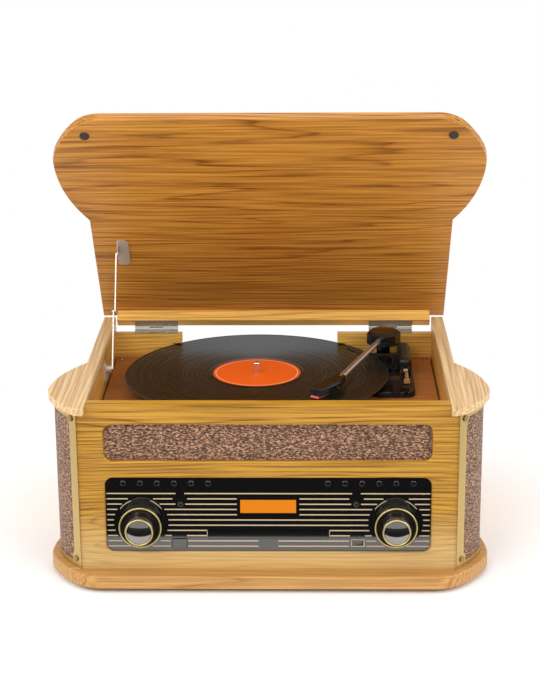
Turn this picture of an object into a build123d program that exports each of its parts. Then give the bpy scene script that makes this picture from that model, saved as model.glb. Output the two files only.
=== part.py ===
"""Retro record player: a wooden case with curved speaker ends, a striped front
with knobs and buttons, a belt driven turntable and a lid on a folding stay.

Units are millimetres. +X is right, +Y is back, +Z is up. While the pieces are
made, y = 0 is the face of the front panel and z = 0 is the floor. At the end
every piece moves so that the origin is the middle of the footprint.
The lid is made closed and then turned open to the pose it rests in.
"""

from build123d import *
import math
import os

# Case: heights, counted from the floor
FOOT_HEIGHT = 5.0
PLINTH_THICKNESS = 14.0
CASE_HEIGHT = 182.8
TOP_BOARD_THICKNESS = 8.0
DECK_DROP = 45.9
DECK_THICKNESS = 8.0
BACK_DROP = 16.9

# Case: depths, counted from the face of the front panel
CASE_DEPTH = 326.0
FRONT_THICKNESS = 18.0
BACK_THICKNESS = 9.0
BACK_INSET = 4.3
TOP_BOARD_OVERHANG = 10.0
PLINTH_OVERHANG = 21.0
PLINTH_REAR_STEP = 4.0
LID_FRONT_OVERHANG = 16.0
LID_REAR_SETBACK = 4.1

# Case: widths
CASE_HALF_WIDTH = 203.5
WALL_THICKNESS = 13.5
FRONT_HALF_WIDTH = 198.9
DECK_GAP = 2.0
DECK_END_GAP = 0.4

# Plan curve of the speaker ends: two arcs that meet at a rounded tip
SHOULDER_X = 116.8
SHOULDER_Y = 81.7
SHOULDER_RADIUS = 122.0
FLANK_X = 75.7
FLANK_Y = 51.7
FLANK_RADIUS = 158.6
TIP_ROUNDING = 50.0
ROOT_ROUNDING = 6.0
BOARD_NOSE_ROUNDING = 18.0
LID_NOSE_ROUNDING = 40.0
EDGE_GROW_SHOULDER = 4.0
EDGE_GROW_FLANK = 2.4
GRILLE_INSET = 5.8
TRIM_THICKNESS = 1.4
GRILLE_THICKNESS = 4.0
GRILLE_REAR_Y = 134.0
GRILLE_WALL_GAP = 0.2
TRIM_BAR = 6.5
TRIM_LOBE_RADIUS = 7.0
TRIM_LOBE_INSET = 6.8

# Edges of the boards
PLINTH_EDGE_ROUNDING = 2.5
LID_EDGE_ROUNDING = 1.2

# Windows of the front panel, heights counted from the underside of the plinth
WINDOW_HALF_WIDTH = 171.3
CLOTH_WINDOW_LOW = 135.3
CLOTH_WINDOW_HIGH = 175.7
CONTROL_WINDOW_LOW = 32.9
CONTROL_WINDOW_HIGH = 116.8
WINDOW_CORNER = 9.0
WINDOW_EDGE_ROUNDING = 2.0
CLOTH_RECESS = 5.0
FASCIA_RECESS = 3.5
FASCIA_THICKNESS = 3.0
FASCIA_MARGIN = 0.15

# Front controls, heights counted from the underside of the plinth
BUTTON_COUNT_PER_SIDE = 6
BUTTON_PITCH = 17.9
BUTTON_OUTER_X = 152.3
BUTTON_Z = 110.2
BUTTON_RADIUS = 3.1
BUTTON_PROUD = 1.6
BUTTON_TRAVEL = 0.8
BUTTON_LENGTH = 8.0
BUTTON_CLEARANCE = 0.2
BUTTON_COLLAR = 1.2
BEZEL_LOW = 102.1
BEZEL_PROUD = 0.8
PLATE_HALF_WIDTH = 46.0
PLATE_PROUD = 0.5
KNOB_X = 134.3
KNOB_Z = 65.0
KNOB_RADIUS = 22.4
KNOB_DEPTH = 14.5
KNOB_FACE_RADIUS = 15.2
KNOB_FACE_DEPTH = 27.5
KNOB_CAP_RADIUS = 12.8
KNOB_CAP_CROWN = 2.6
KNOB_GAP = 0.5
KNOB_SHAFT_RADIUS = 3.0
KNOB_SHAFT_LENGTH = 14.0
SHAFT_CLEARANCE = 0.05
DISPLAY_HALF_WIDTH = 29.4
DISPLAY_LOW = 75.9
DISPLAY_HIGH = 91.0
DISPLAY_THICKNESS = 1.2
JACK_X = 92.6
JACK_Z = 86.0
JACK_BORE_RADIUS = 1.8
JACK_RING_RADIUS = 3.1
JACK_DEPTH = 15.0
JACK_PROUD = 0.6
USB_X = 94.7
USB_Z = 42.3
USB_WIDTH = 14.4
USB_HEIGHT = 8.6
USB_WALL = 0.9
USB_DEPTH = 16.0
KEY_X = -93.9
KEY_WIDTH = 16.2
KEY_LOW = 35.9
KEY_HIGH = 47.4
KEY_PROUD = 1.4
KEY_TRAVEL = 1.0
KEY_GAP = 0.3
DRAWER_HALF_WIDTH = 63.4
DRAWER_LOW = 46.5
DRAWER_HIGH = 56.6
DRAWER_TRAVEL = 115.0
DRAWER_GAP = 0.35
DRAWER_FACE = 3.0
DISC_RADIUS = 60.6
DISC_RECESS = 2.2

# Turntable, heights counted from the deck
RECORD_X = -16.65
RECORD_Y = 202.8
RECORD_RADIUS = 150.8
RECORD_THICKNESS = 1.6
RECORD_TOP = 16.0
LABEL_RADIUS = 50.0
LABEL_THICKNESS = 0.3
SPINDLE_RADIUS = 3.55
SPINDLE_ABOVE_RECORD = 13.0
SPINDLE_BELOW_DECK = 22.0
MAT_RADIUS = 106.0
MAT_THICKNESS = 1.5
PLATTER_RADIUS = 107.5
PLATTER_WEB = 2.4
PLATTER_SKIRT = 3.0
PLATTER_FLOOR_GAP = 3.0
BELT_RING_RADIUS = 55.0
BELT_RING_WALL = 2.5
BELT_THICKNESS = 0.8
BELT_WIDTH = 3.5
BELT_GAP = 0.3
MOTOR_X = -16.65
MOTOR_Y = 114.0
MOTOR_RADIUS = 18.0
MOTOR_LENGTH = 24.0
PULLEY_RADIUS = 6.0
CUTOUT_LEFT = -109.5
CUTOUT_RIGHT = 77.2
CUTOUT_ABOVE_DECK = 6.0
RECORD_ROOM = 1.2

# Tonearm, heights counted from the deck
PIVOT_X = 131.0
PIVOT_Y = 282.0
ARM_PLAY_ANGLE = 22.7
ARM_PARK_TURN = 27.3
ARM_LENGTH = 185.9
ARM_PIVOT_HEIGHT = 34.1
TUBE_RADIUS = 3.4
TUBE_BORE = 2.6
TUBE_FRONT_DROP = 9.2
STYLUS_GAP = 0.3
HEAD_WIDTH = 36.0
HEAD_DEPTH = 35.0
HEAD_HEIGHT = 15.5
HEAD_CHAMFER = 9.0
HEADSHELL_LENGTH = 54.0
HEADSHELL_TURN = 13.0
HEADSHELL_BEND = 26.0
ARM_BASE_THICKNESS = 7.0
ARM_BASE_WIDTH = 50.0
ARM_BASE_LENGTH = 150.0
ARM_HUMP_WIDTH = 15.0
ARM_HUMP_LENGTH = 70.0
LIFT_RADIUS = 45.0
LIFT_TURN = 36.0
LIFT_WIDTH = 4.0
LIFT_GAP = 0.5
REST_DISTANCE = 118.0
CUE_LEVER_X = PIVOT_X + 23.0
CUE_LEVER_Y = PIVOT_Y - 67.0

# Lid and stay
LID_THICKNESS = 11.0
LID_GAP = 2.0
LID_OPEN = 54.3
LID_STRIP_THICKNESS = 10.4
LID_STRIP_DROP = 14.7
LID_STRIP_HALF = 188.0
BUMPER_RADIUS = 5.2
BUMPER_X = 198.0
BUMPER_FROM_FRONT = 23.9
BUMPER_CLEARANCE = 0.2
HINGE_X = 141.0
HINGE_LENGTH = 52.0
HINGE_LEAF = 1.0
KNUCKLE_RADIUS = 2.0
HINGE_PIN_RADIUS = 0.9
HINGE_BEHIND = 4.2
LID_STRIP_SETBACK = 0.2
STAY_FROM_REAR = 125.0
STAY_DEPTH = 7.0
STAY_FOOT_Y = 197.0
STAY_FOOT_ABOVE_DECK = 21.8
STAY_WIDTH = 7.0
STAY_THICKNESS = 1.4
STAY_UPPER_X = -179.4
STAY_LOWER_X = -181.2
STAY_PIN_RADIUS = 1.8

# Levels and places worked out from the sizes above
PLINTH_TOP = FOOT_HEIGHT + PLINTH_THICKNESS
CASE_TOP = PLINTH_TOP + CASE_HEIGHT
BOARD_UNDER = CASE_TOP - TOP_BOARD_THICKNESS
DECK_TOP = CASE_TOP - DECK_DROP
DECK_UNDER = DECK_TOP - DECK_THICKNESS
BACK_TOP = CASE_TOP - BACK_DROP
INNER_HALF = CASE_HALF_WIDTH - WALL_THICKNESS
BACK_REAR_Y = CASE_DEPTH - BACK_INSET
BACK_FRONT_Y = BACK_REAR_Y - BACK_THICKNESS
RECORD_LEVEL = DECK_TOP + RECORD_TOP
RECORD_UNDER = RECORD_LEVEL - RECORD_THICKNESS
PLATTER_TOP = RECORD_UNDER - MAT_THICKNESS
PLATTER_LOW = DECK_TOP + PLATTER_FLOOR_GAP
LID_UNDER = CASE_TOP + LID_GAP
LID_REAR_Y = CASE_DEPTH - LID_REAR_SETBACK
LID_FRONT_Y = -LID_FRONT_OVERHANG
HINGE_Y = BACK_REAR_Y + HINGE_BEHIND
HINGE_Z = (BACK_TOP + LID_UNDER - LID_STRIP_DROP) / 2
RECORD_REAR_Y = RECORD_Y + RECORD_RADIUS
MIDDLE_Y = (RECORD_REAR_Y - PLINTH_OVERHANG) / 2
PIVOT_Z = DECK_TOP + ARM_PIVOT_HEIGHT
FASCIA_Y = FASCIA_RECESS
STAY_TOP_Y = LID_REAR_Y - STAY_FROM_REAR
STAY_TOP_Z = LID_UNDER - STAY_DEPTH
STAY_FOOT_Z = DECK_TOP + STAY_FOOT_ABOVE_DECK


def from_plinth(height):
    """Height above the floor of a height counted from the plinth's underside."""
    return FOOT_HEIGHT + height


def block(x0, x1, y0, y1, z0, z1):
    """Box between two corners."""
    size = (x1 - x0, y1 - y0, z1 - z0)
    return Pos((x0 + x1) / 2, (y0 + y1) / 2, (z0 + z1) / 2) * Box(*size)


def round_bar(x, y, z0, z1, radius):
    """Upright cylinder from z0 to z1."""
    return Pos(x, y, (z0 + z1) / 2) * Cylinder(radius, z1 - z0)


def bar_along_y(x, z, y0, y1, radius):
    """Cylinder that lies along Y."""
    return Pos(x, (y0 + y1) / 2, z) * Rot(90, 0, 0) * Cylinder(radius, y1 - y0)


def bar_along_x(x0, x1, y, z, radius):
    """Cylinder that lies along X."""
    return Pos((x0 + x1) / 2, y, z) * Rot(0, 90, 0) * Cylinder(radius, x1 - x0)


def mirrored(shape):
    """The same shape on the other side of the middle plane."""
    return mirror(shape, about=Plane.YZ)


def joined(shapes):
    """Separate solids as one group."""
    solids = []
    for shape in shapes:
        solids.extend(shape.solids())
    return Compound(children=solids)


def nearest_corner(sketch, x, y):
    """Corner of a sketch that lies nearest to a point."""
    return sketch.vertices().sort_by_distance((x, y, 0))[0]


def circles_meet(x0, y0, r0, x1, y1, r1):
    """Right-hand crossing of two circles."""
    gap = math.hypot(x1 - x0, y1 - y0)
    along = (r0**2 - r1**2 + gap**2) / (2 * gap)
    across = math.sqrt(r0**2 - along**2)
    ux = (x1 - x0) / gap
    uy = (y1 - y0) / gap
    first = (x0 + along * ux - across * uy, y0 + along * uy + across * ux)
    second = (x0 + along * ux + across * uy, y0 + along * uy - across * ux)
    return max(first, second)


def plan_sketch(front_y, rear_y, grow_shoulder, grow_flank, nose):
    """Plan of a board with both curved speaker ends.

    The shoulder arc runs from the front edge to the tip, the flank arc from
    the tip to the straight side. The three corners on each side are rounded.
    """
    shoulder = SHOULDER_RADIUS + grow_shoulder
    flank = FLANK_RADIUS + grow_flank
    side = CASE_HALF_WIDTH + grow_flank
    rise = SHOULDER_Y - front_y
    nose_x = SHOULDER_X + math.sqrt(shoulder**2 - rise**2)
    tip_x, tip_y = circles_meet(SHOULDER_X, SHOULDER_Y, shoulder, FLANK_X, FLANK_Y, flank)
    root_y = FLANK_Y + math.sqrt(flank**2 - (side - FLANK_X) ** 2)
    edges = []
    for sign in (1, -1):
        nose_point = (sign * nose_x, front_y)
        tip_point = (sign * tip_x, tip_y)
        root_point = (sign * side, root_y)
        shoulder_mid = arc_middle(SHOULDER_X, SHOULDER_Y, shoulder, (nose_x, front_y), (tip_x, tip_y))
        flank_mid = arc_middle(FLANK_X, FLANK_Y, flank, (tip_x, tip_y), (side, root_y))
        edges.append(ThreePointArc(nose_point, (sign * shoulder_mid[0], shoulder_mid[1]), tip_point))
        edges.append(ThreePointArc(tip_point, (sign * flank_mid[0], flank_mid[1]), root_point))
        edges.append(Line(root_point, (sign * side, rear_y)))
    edges.append(Line((-nose_x, front_y), (nose_x, front_y)))
    edges.append(Line((-side, rear_y), (side, rear_y)))
    sketch = make_face(edges)
    corners = [(nose_x, front_y, nose), (tip_x, tip_y, TIP_ROUNDING), (side, root_y, ROOT_ROUNDING)]
    for x, y, radius in corners:
        if radius > 0:
            for sign in (1, -1):
                sketch = fillet(nearest_corner(sketch, sign * x, y), radius)
    return sketch


def arc_middle(cx, cy, radius, start, end):
    """Middle point of the arc between two points of a circle."""
    angle = (math.atan2(start[1] - cy, start[0] - cx) + math.atan2(end[1] - cy, end[0] - cx)) / 2
    return (cx + radius * math.cos(angle), cy + radius * math.sin(angle))


def rounded_window(half_width, low, high, corner, y0, y1):
    """Solid that fills a rounded rectangular window, from y0 to y1."""
    sketch = RectangleRounded(2 * half_width, high - low, corner)
    return Pos(0, y1, (low + high) / 2) * extrude(Plane.XZ * sketch, amount=y1 - y0)


def base_plinth():
    sketch = plan_sketch(
        -PLINTH_OVERHANG,
        CASE_DEPTH + PLINTH_REAR_STEP,
        EDGE_GROW_SHOULDER,
        EDGE_GROW_FLANK,
        LID_NOSE_ROUNDING,
    )
    board = extrude(Pos(0, 0, FOOT_HEIGHT) * sketch, amount=PLINTH_THICKNESS)
    return fillet(board.faces().sort_by(Axis.Z)[-1].edges(), PLINTH_EDGE_ROUNDING)


def rubber_feet():
    """Four tapered rubber feet, set in from the corners."""
    foot_x = CASE_HALF_WIDTH - 30
    top_radius = 11.0
    foot_radius = 9.5
    feet = []
    for x in (-foot_x, foot_x):
        for y in (20.0, CASE_DEPTH - 24.0):
            cone = Cone(foot_radius, top_radius, FOOT_HEIGHT)
            feet.append(Pos(x, y, FOOT_HEIGHT / 2) * cone)
    return joined(feet)


def front_panel():
    """Front board: full width up to the top boards, then the raised strip."""
    low = block(-FRONT_HALF_WIDTH, FRONT_HALF_WIDTH, 0, FRONT_THICKNESS, PLINTH_TOP, BOARD_UNDER)
    high = block(-INNER_HALF, INNER_HALF, 0, FRONT_THICKNESS, PLINTH_TOP, CASE_TOP)
    panel = low + high
    for bottom, top in (
        (CLOTH_WINDOW_LOW, CLOTH_WINDOW_HIGH),
        (CONTROL_WINDOW_LOW, CONTROL_WINDOW_HIGH),
    ):
        low_z = from_plinth(bottom)
        high_z = from_plinth(top)
        panel -= rounded_window(WINDOW_HALF_WIDTH, low_z, high_z, WINDOW_CORNER, -1, FRONT_THICKNESS + 1)
        rim = panel.faces().sort_by(Axis.Y)[0].edges()
        near = [e for e in rim if low_z - 1 < e.center().Z < high_z + 1]
        near = [e for e in near if abs(e.center().X) < WINDOW_HALF_WIDTH + 1]
        panel = fillet(near, WINDOW_EDGE_ROUNDING)
    return panel


def speaker_place():
    """Middle of the loudspeaker on the wall."""
    return 76.0, (PLINTH_TOP + BOARD_UNDER) / 2


def side_panels():
    """Inner walls, each with a speaker hole and a ledge that carries the deck."""
    hole_y, hole_z = speaker_place()
    hole_radius = 36.5
    ledge = 12.0
    wall = block(INNER_HALF, CASE_HALF_WIDTH, FRONT_THICKNESS, CASE_DEPTH, PLINTH_TOP, BOARD_UNDER)
    wall += block(
        INNER_HALF - ledge, INNER_HALF, FRONT_THICKNESS, BACK_FRONT_Y, DECK_UNDER - ledge, DECK_UNDER
    )
    wall -= bar_along_x(INNER_HALF - 1, CASE_HALF_WIDTH + 1, hole_y, hole_z, hole_radius)
    return joined([wall, mirrored(wall)])


def top_boards():
    """Speaker caps with their side rails, one board on each side."""
    sketch = plan_sketch(-TOP_BOARD_OVERHANG, CASE_DEPTH, 0, 0, BOARD_NOSE_ROUNDING)
    board = extrude(Pos(0, 0, BOARD_UNDER) * sketch, amount=TOP_BOARD_THICKNESS)
    board = board & block(INNER_HALF, 300, -100, CASE_DEPTH + 1, 0, 300)
    return joined([board, mirrored(board)])


def back_board():
    """Rear board between the walls, open at the top where the record runs out."""
    board = block(-INNER_HALF, INNER_HALF, BACK_FRONT_Y, BACK_REAR_Y, PLINTH_TOP, BACK_TOP)
    notch_low = DECK_TOP + CUTOUT_ABOVE_DECK
    notch = block(CUTOUT_LEFT, CUTOUT_RIGHT, BACK_FRONT_Y - 1, BACK_REAR_Y + 1, notch_low, BACK_TOP + 1)
    low_edges = notch.edges().filter_by(Axis.Y).group_by(Axis.Z)[0]
    board -= fillet(low_edges, 4.0)
    board -= round_bar(RECORD_X, RECORD_Y, notch_low, RECORD_LEVEL + RECORD_ROOM, RECORD_RADIUS + RECORD_ROOM)
    x0, x1, z0, z1 = socket_hole()
    board -= block(x0, x1, BACK_FRONT_Y - 1, BACK_REAR_Y + 1, z0, z1)
    return board


def socket_hole():
    """Opening of the back board behind which the socket panel sits."""
    return 60.0, 170.0, PLINTH_TOP + 18.0, PLINTH_TOP + 58.0


def deck_plate():
    """Board under the turntable, with holes for spindle, motor and arm shaft."""
    half = INNER_HALF - DECK_GAP
    deck = block(
        -half, half, FRONT_THICKNESS + DECK_END_GAP, BACK_FRONT_Y - DECK_END_GAP, DECK_UNDER, DECK_TOP
    )
    deck -= round_bar(RECORD_X, RECORD_Y, DECK_UNDER - 1, DECK_TOP + 1, BEARING_BODY + 0.1)
    deck -= round_bar(MOTOR_X, MOTOR_Y, DECK_UNDER - 1, DECK_TOP + 1, MOTOR_HOLE)
    deck -= round_bar(PIVOT_X, PIVOT_Y, DECK_UNDER - 1, DECK_TOP + 1, ARM_SHAFT_HOLE)
    return deck


BEARING_BODY = 9.0
BEARING_FLANGE = 16.0
MOTOR_HOLE = 9.0
ARM_SHAFT_HOLE = 6.0
ARM_SHAFT = 3.0
DECK_SCREW_X = 182.0
DECK_SCREW_Y = BACK_FRONT_Y - 12.7
SCREW_HEAD = 3.0


def grille_shell(inset, thickness, low, high):
    """Curved wall along the speaker end, from the front panel to the side wall."""
    outer = plan_sketch(-TOP_BOARD_OVERHANG, CASE_DEPTH, -inset, -inset, 0)
    inner = plan_sketch(-TOP_BOARD_OVERHANG, CASE_DEPTH, -inset - thickness, -inset - thickness, 0)
    ring = extrude(Pos(0, 0, low) * (outer - inner), amount=high - low)
    ring &= block(FRONT_HALF_WIDTH, 300, -50, GRILLE_REAR_Y, low, high)
    return ring - block(0, CASE_HALF_WIDTH + GRILLE_WALL_GAP, FRONT_THICKNESS, 300, low, high)


def cloth_grilles():
    """Cloth covered panels: one at each speaker end and one behind the window."""
    side = grille_shell(GRILLE_INSET, GRILLE_THICKNESS, PLINTH_TOP, BOARD_UNDER)
    side = max(side.solids(), key=lambda solid: solid.volume)
    front = rounded_window(
        WINDOW_HALF_WIDTH - FASCIA_MARGIN,
        from_plinth(CLOTH_WINDOW_LOW) + FASCIA_MARGIN,
        from_plinth(CLOTH_WINDOW_HIGH) - FASCIA_MARGIN,
        WINDOW_CORNER,
        CLOTH_RECESS,
        FRONT_THICKNESS,
    )
    return joined([side, mirrored(side), front])


def lobe_places():
    """Corner screws of a grille frame: places along the curve and heights."""
    heights = (PLINTH_TOP + TRIM_LOBE_INSET + 3.0, BOARD_UNDER - TRIM_LOBE_INSET)
    return (4.6, GRILLE_REAR_Y - 6.0), heights


def on_curve(y):
    """x and outward direction of the grille frame's face at a depth y."""
    shoulder = SHOULDER_RADIUS - GRILLE_INSET
    flank = FLANK_RADIUS - GRILLE_INSET
    tip = circles_meet(SHOULDER_X, SHOULDER_Y, shoulder, FLANK_X, FLANK_Y, flank)
    if y < tip[1]:
        cx, cy, radius = SHOULDER_X, SHOULDER_Y, shoulder
    else:
        cx, cy, radius = FLANK_X, FLANK_Y, flank
    x = cx + math.sqrt(radius**2 - (y - cy) ** 2)
    return x, math.degrees(math.atan2(y - cy, x - cx))


def speaker_trims():
    """Thin brass frames over the cloth, with a round lobe at each corner screw."""
    low = PLINTH_TOP
    high = BOARD_UNDER
    sheet = grille_shell(GRILLE_INSET - TRIM_THICKNESS, TRIM_THICKNESS, low, high)
    sheet = max(sheet.solids(), key=lambda solid: solid.volume)
    opening = block(0, 300, TRIM_FRONT_BAR, GRILLE_REAR_Y - TRIM_BAR, low + TRIM_BAR, high - TRIM_BAR)
    for y, z in [(y, z) for y in lobe_places()[0] for z in lobe_places()[1]]:
        x, angle = on_curve(y)
        lobe = Pos(x, y, z) * Rot(0, 0, angle) * Rot(0, 90, 0) * Cylinder(TRIM_LOBE_RADIUS, 20)
        opening -= lobe
    frame = sheet - opening
    frame = max(frame.solids(), key=lambda solid: solid.volume)
    for y, z in [(y, z) for y in lobe_places()[0] for z in lobe_places()[1]]:
        frame -= screw_at(y, z, 1.5, -6, 6)
    return joined([frame, mirrored(frame)])


TRIM_FRONT_BAR = 6.0


def screw_at(y, z, radius, start, end):
    """Cylinder square to the curved frame, between two distances from the cloth."""
    x, angle = on_curve(y)
    length = end - start
    middle = (start + end) / 2
    place = Pos(x, y, z) * Rot(0, 0, angle) * Pos(middle, 0, 0) * Rot(0, 90, 0)
    return place * Cylinder(radius, length)


def small_screws():
    """Deck screws and the corner screws of the grille frames."""
    screws = []
    for x in (-DECK_SCREW_X, DECK_SCREW_X):
        head = Pos(x, DECK_SCREW_Y, DECK_TOP) * Sphere(SCREW_HEAD)
        screws.append(head & block(x - 5, x + 5, DECK_SCREW_Y - 5, DECK_SCREW_Y + 5, DECK_TOP, DECK_TOP + 1.6))
    side = []
    for y in lobe_places()[0]:
        for z in lobe_places()[1]:
            head = screw_at(y, z, 3.4, TRIM_THICKNESS + 0.05, TRIM_THICKNESS + 1.3)
            side.append(head)
    return joined(screws + side + [mirrored(screw) for screw in side])


def speaker_drivers():
    """Loudspeakers on the walls: flange, basket, magnet and an open cone."""
    y, z = speaker_place()
    face = CASE_HALF_WIDTH
    profile = [
        (0, -44), (22, -44), (22, -30), (16, -28), (34, -1), (34, 0), (42, 0), (42, 3),
        (36, 3), (34, 5.5), (31, 3), (14, -10), (0, -6),
    ]
    sketch = make_face(Polyline(*[(radius, height) for radius, height in profile], close=True))
    driver = revolve(Plane.XZ * sketch, Axis.Z)
    right = Pos(face, y, z) * Rot(0, 90, 0) * driver
    return joined([right, mirrored(right)])


def knob_hole(x):
    return bar_along_y(x, from_plinth(KNOB_Z), FASCIA_Y - 1, FASCIA_Y + 20, KNOB_SHAFT_RADIUS + SHAFT_CLEARANCE)


def control_fascia():
    """Gloss plate that fills the lower window, with a hole for every control."""
    low = from_plinth(CONTROL_WINDOW_LOW) + FASCIA_MARGIN
    high = from_plinth(CONTROL_WINDOW_HIGH) - FASCIA_MARGIN
    half = WINDOW_HALF_WIDTH - FASCIA_MARGIN
    plate = rounded_window(half, low, high, WINDOW_CORNER, FASCIA_Y, FASCIA_Y + FASCIA_THICKNESS)
    plate -= block(-400, 400, -5, FASCIA_Y + 40, from_plinth(BEZEL_LOW), 400)
    for sign in (-1, 1):
        plate -= knob_hole(sign * KNOB_X)
        plate -= bar_along_y(sign * JACK_X, from_plinth(JACK_Z), -1, FASCIA_Y + 20, JACK_RING_RADIUS)
    display = (-DISPLAY_HALF_WIDTH, DISPLAY_HALF_WIDTH, -1, 20, from_plinth(DISPLAY_LOW), from_plinth(DISPLAY_HIGH))
    plate -= block(*display)
    plate -= usb_block(0, -1, 20)
    key_low = from_plinth(KEY_LOW)
    key_high = from_plinth(KEY_HIGH)
    plate -= block(KEY_X - KEY_WIDTH / 2, KEY_X + KEY_WIDTH / 2, -1, 20, key_low, key_high)
    drawer_low = from_plinth(DRAWER_LOW)
    drawer_high = from_plinth(DRAWER_HIGH)
    plate -= block(-DRAWER_HALF_WIDTH, DRAWER_HALF_WIDTH, -1, 20, drawer_low, drawer_high)
    return plate


def button_places():
    """x of each push button, from left to right."""
    left = [-BUTTON_OUTER_X + index * BUTTON_PITCH for index in range(BUTTON_COUNT_PER_SIDE)]
    return left + [-x for x in reversed(left)]


def button_bezel():
    """Strip with the button holes and the plain plate between them."""
    low = from_plinth(CONTROL_WINDOW_LOW) + FASCIA_MARGIN
    high = from_plinth(CONTROL_WINDOW_HIGH) - FASCIA_MARGIN
    half = WINDOW_HALF_WIDTH - FASCIA_MARGIN
    face = FASCIA_Y - BEZEL_PROUD
    strip = rounded_window(half, low, high, WINDOW_CORNER, face, FASCIA_Y + FASCIA_THICKNESS)
    strip -= block(-400, 400, -5, 60, 0, from_plinth(BEZEL_LOW))
    plate_low = from_plinth(BEZEL_LOW) + 0.8
    strip += block(-PLATE_HALF_WIDTH, PLATE_HALF_WIDTH, face - PLATE_PROUD, face + 1, plate_low, high - 0.8)
    for x in button_places():
        strip -= bar_along_y(x, from_plinth(BUTTON_Z), -1, 20, BUTTON_RADIUS + BUTTON_CLEARANCE)
    return strip


def push_button(x):
    """Round button with a domed face and a collar behind the bezel."""
    z = from_plinth(BUTTON_Z)
    front = FASCIA_Y - BEZEL_PROUD - BUTTON_PROUD
    back_face = FASCIA_Y + FASCIA_THICKNESS
    stem = bar_along_y(x, z, front, back_face + BUTTON_LENGTH / 2, BUTTON_RADIUS)
    stem = fillet(stem.edges().sort_by(Axis.Y)[0], 0.7)
    collar_front = back_face + 0.2
    collar = bar_along_y(x, z, collar_front, collar_front + 1.2, BUTTON_RADIUS + BUTTON_COLLAR)
    return stem + collar


def display_window():
    half = DISPLAY_HALF_WIDTH - 0.1
    low = from_plinth(DISPLAY_LOW) + 0.1
    high = from_plinth(DISPLAY_HIGH) - 0.1
    pane = block(-half, half, FASCIA_Y + 0.6, FASCIA_Y + FASCIA_THICKNESS, low, high)
    rear = block(-half - 4, half + 4, FASCIA_Y + FASCIA_THICKNESS, BOARD_FRONT_Y, low - 4, high + 4)
    return pane + rear


BOARD_FRONT_Y = FRONT_THICKNESS
BOARD_THICKNESS = 1.6


def usb_block(shrink, y0, y1):
    """Box round the USB socket, drawn in by a margin."""
    half = USB_WIDTH / 2 - shrink
    tall = USB_HEIGHT / 2 - shrink
    z = from_plinth(USB_Z)
    return block(USB_X - half, USB_X + half, y0, y1, z - tall, z + tall)


def front_sockets():
    """Two jack sockets and the USB socket."""
    pieces = []
    z = from_plinth(JACK_Z)
    front = FASCIA_Y - JACK_PROUD
    for x in (-JACK_X, JACK_X):
        barrel = bar_along_y(x, z, front, BOARD_FRONT_Y, JACK_RING_RADIUS - 0.1)
        barrel += block(x - 4, x + 4, FASCIA_Y + FASCIA_THICKNESS, BOARD_FRONT_Y, z - 4, z + 4)
        barrel -= bar_along_y(x, z, front - 1, front + 12, JACK_BORE_RADIUS)
        pieces.append(barrel)
    shell = usb_block(0.1, FASCIA_Y - JACK_PROUD, BOARD_FRONT_Y)
    shell -= usb_block(USB_WALL + 0.1, FASCIA_Y - 2, BOARD_FRONT_Y - 0.5)
    pieces.append(shell)
    return joined(pieces)


def power_key():
    """Rectangular key that stands a little proud of the fascia."""
    low = from_plinth(KEY_LOW) + KEY_GAP
    high = from_plinth(KEY_HIGH) - KEY_GAP
    half = KEY_WIDTH / 2 - KEY_GAP
    cap = block(KEY_X - half, KEY_X + half, FASCIA_Y - KEY_PROUD, BOARD_FRONT_Y - 3, low, high)
    return fillet(cap.faces().sort_by(Axis.Y)[0].edges(), 0.6)


def knob(x):
    """Stepped knob: wide drum, narrow nose with a domed cap, and its shaft."""
    base = KNOB_GAP
    lip = 1.2
    crown = KNOB_FACE_DEPTH + KNOB_CAP_CROWN
    points = [
        (0, base), (KNOB_RADIUS - 0.6, base), (KNOB_RADIUS, base + 1), (KNOB_RADIUS, KNOB_DEPTH - 1),
        (KNOB_RADIUS - 0.8, KNOB_DEPTH), (KNOB_RADIUS - 3.2, KNOB_DEPTH), (KNOB_RADIUS - 4.2, KNOB_DEPTH - lip),
        (KNOB_FACE_RADIUS + 1.6, KNOB_DEPTH - lip), (KNOB_FACE_RADIUS, KNOB_FACE_DEPTH - 1),
        (KNOB_FACE_RADIUS - 0.8, KNOB_FACE_DEPTH), (KNOB_CAP_RADIUS, KNOB_FACE_DEPTH),
    ]
    outline = Polyline(*points)
    bow = (KNOB_CAP_RADIUS**2 + KNOB_CAP_CROWN**2) / (2 * KNOB_CAP_CROWN)
    dome = RadiusArc((KNOB_CAP_RADIUS, KNOB_FACE_DEPTH), (0, crown), -bow)
    sketch = make_face([outline, dome, Line((0, crown), (0, base))])
    body = revolve(Plane.XZ * sketch, Axis.Z)
    shaft = Pos(0, 0, base - KNOB_SHAFT_LENGTH / 2) * Cylinder(KNOB_SHAFT_RADIUS, KNOB_SHAFT_LENGTH)
    return Pos(x, FASCIA_Y, from_plinth(KNOB_Z)) * Rot(90, 0, 0) * (body + shaft)


def cd_tray():
    """Drawer: front strip and a tray with a round disc recess."""
    low = from_plinth(DRAWER_LOW) + DRAWER_GAP
    high = from_plinth(DRAWER_HIGH) - DRAWER_GAP
    half = DRAWER_HALF_WIDTH - DRAWER_GAP
    tray_depth = 2 * DISC_RADIUS + 6
    tray_top = high - 2.0
    start = FASCIA_Y
    tray = block(-half, half, start, start + DRAWER_FACE, low, high)
    tray += block(-half + 0.5, half - 0.5, start, start + DRAWER_FACE + tray_depth, low + 1, tray_top)
    middle = start + DRAWER_FACE + 2 + DISC_RADIUS
    tray -= round_bar(0, middle, tray_top - DISC_RECESS, tray_top + 1, DISC_RADIUS)
    tray -= block(-9, 9, middle, start + 140, low, tray_top + 1)
    return tray


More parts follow.
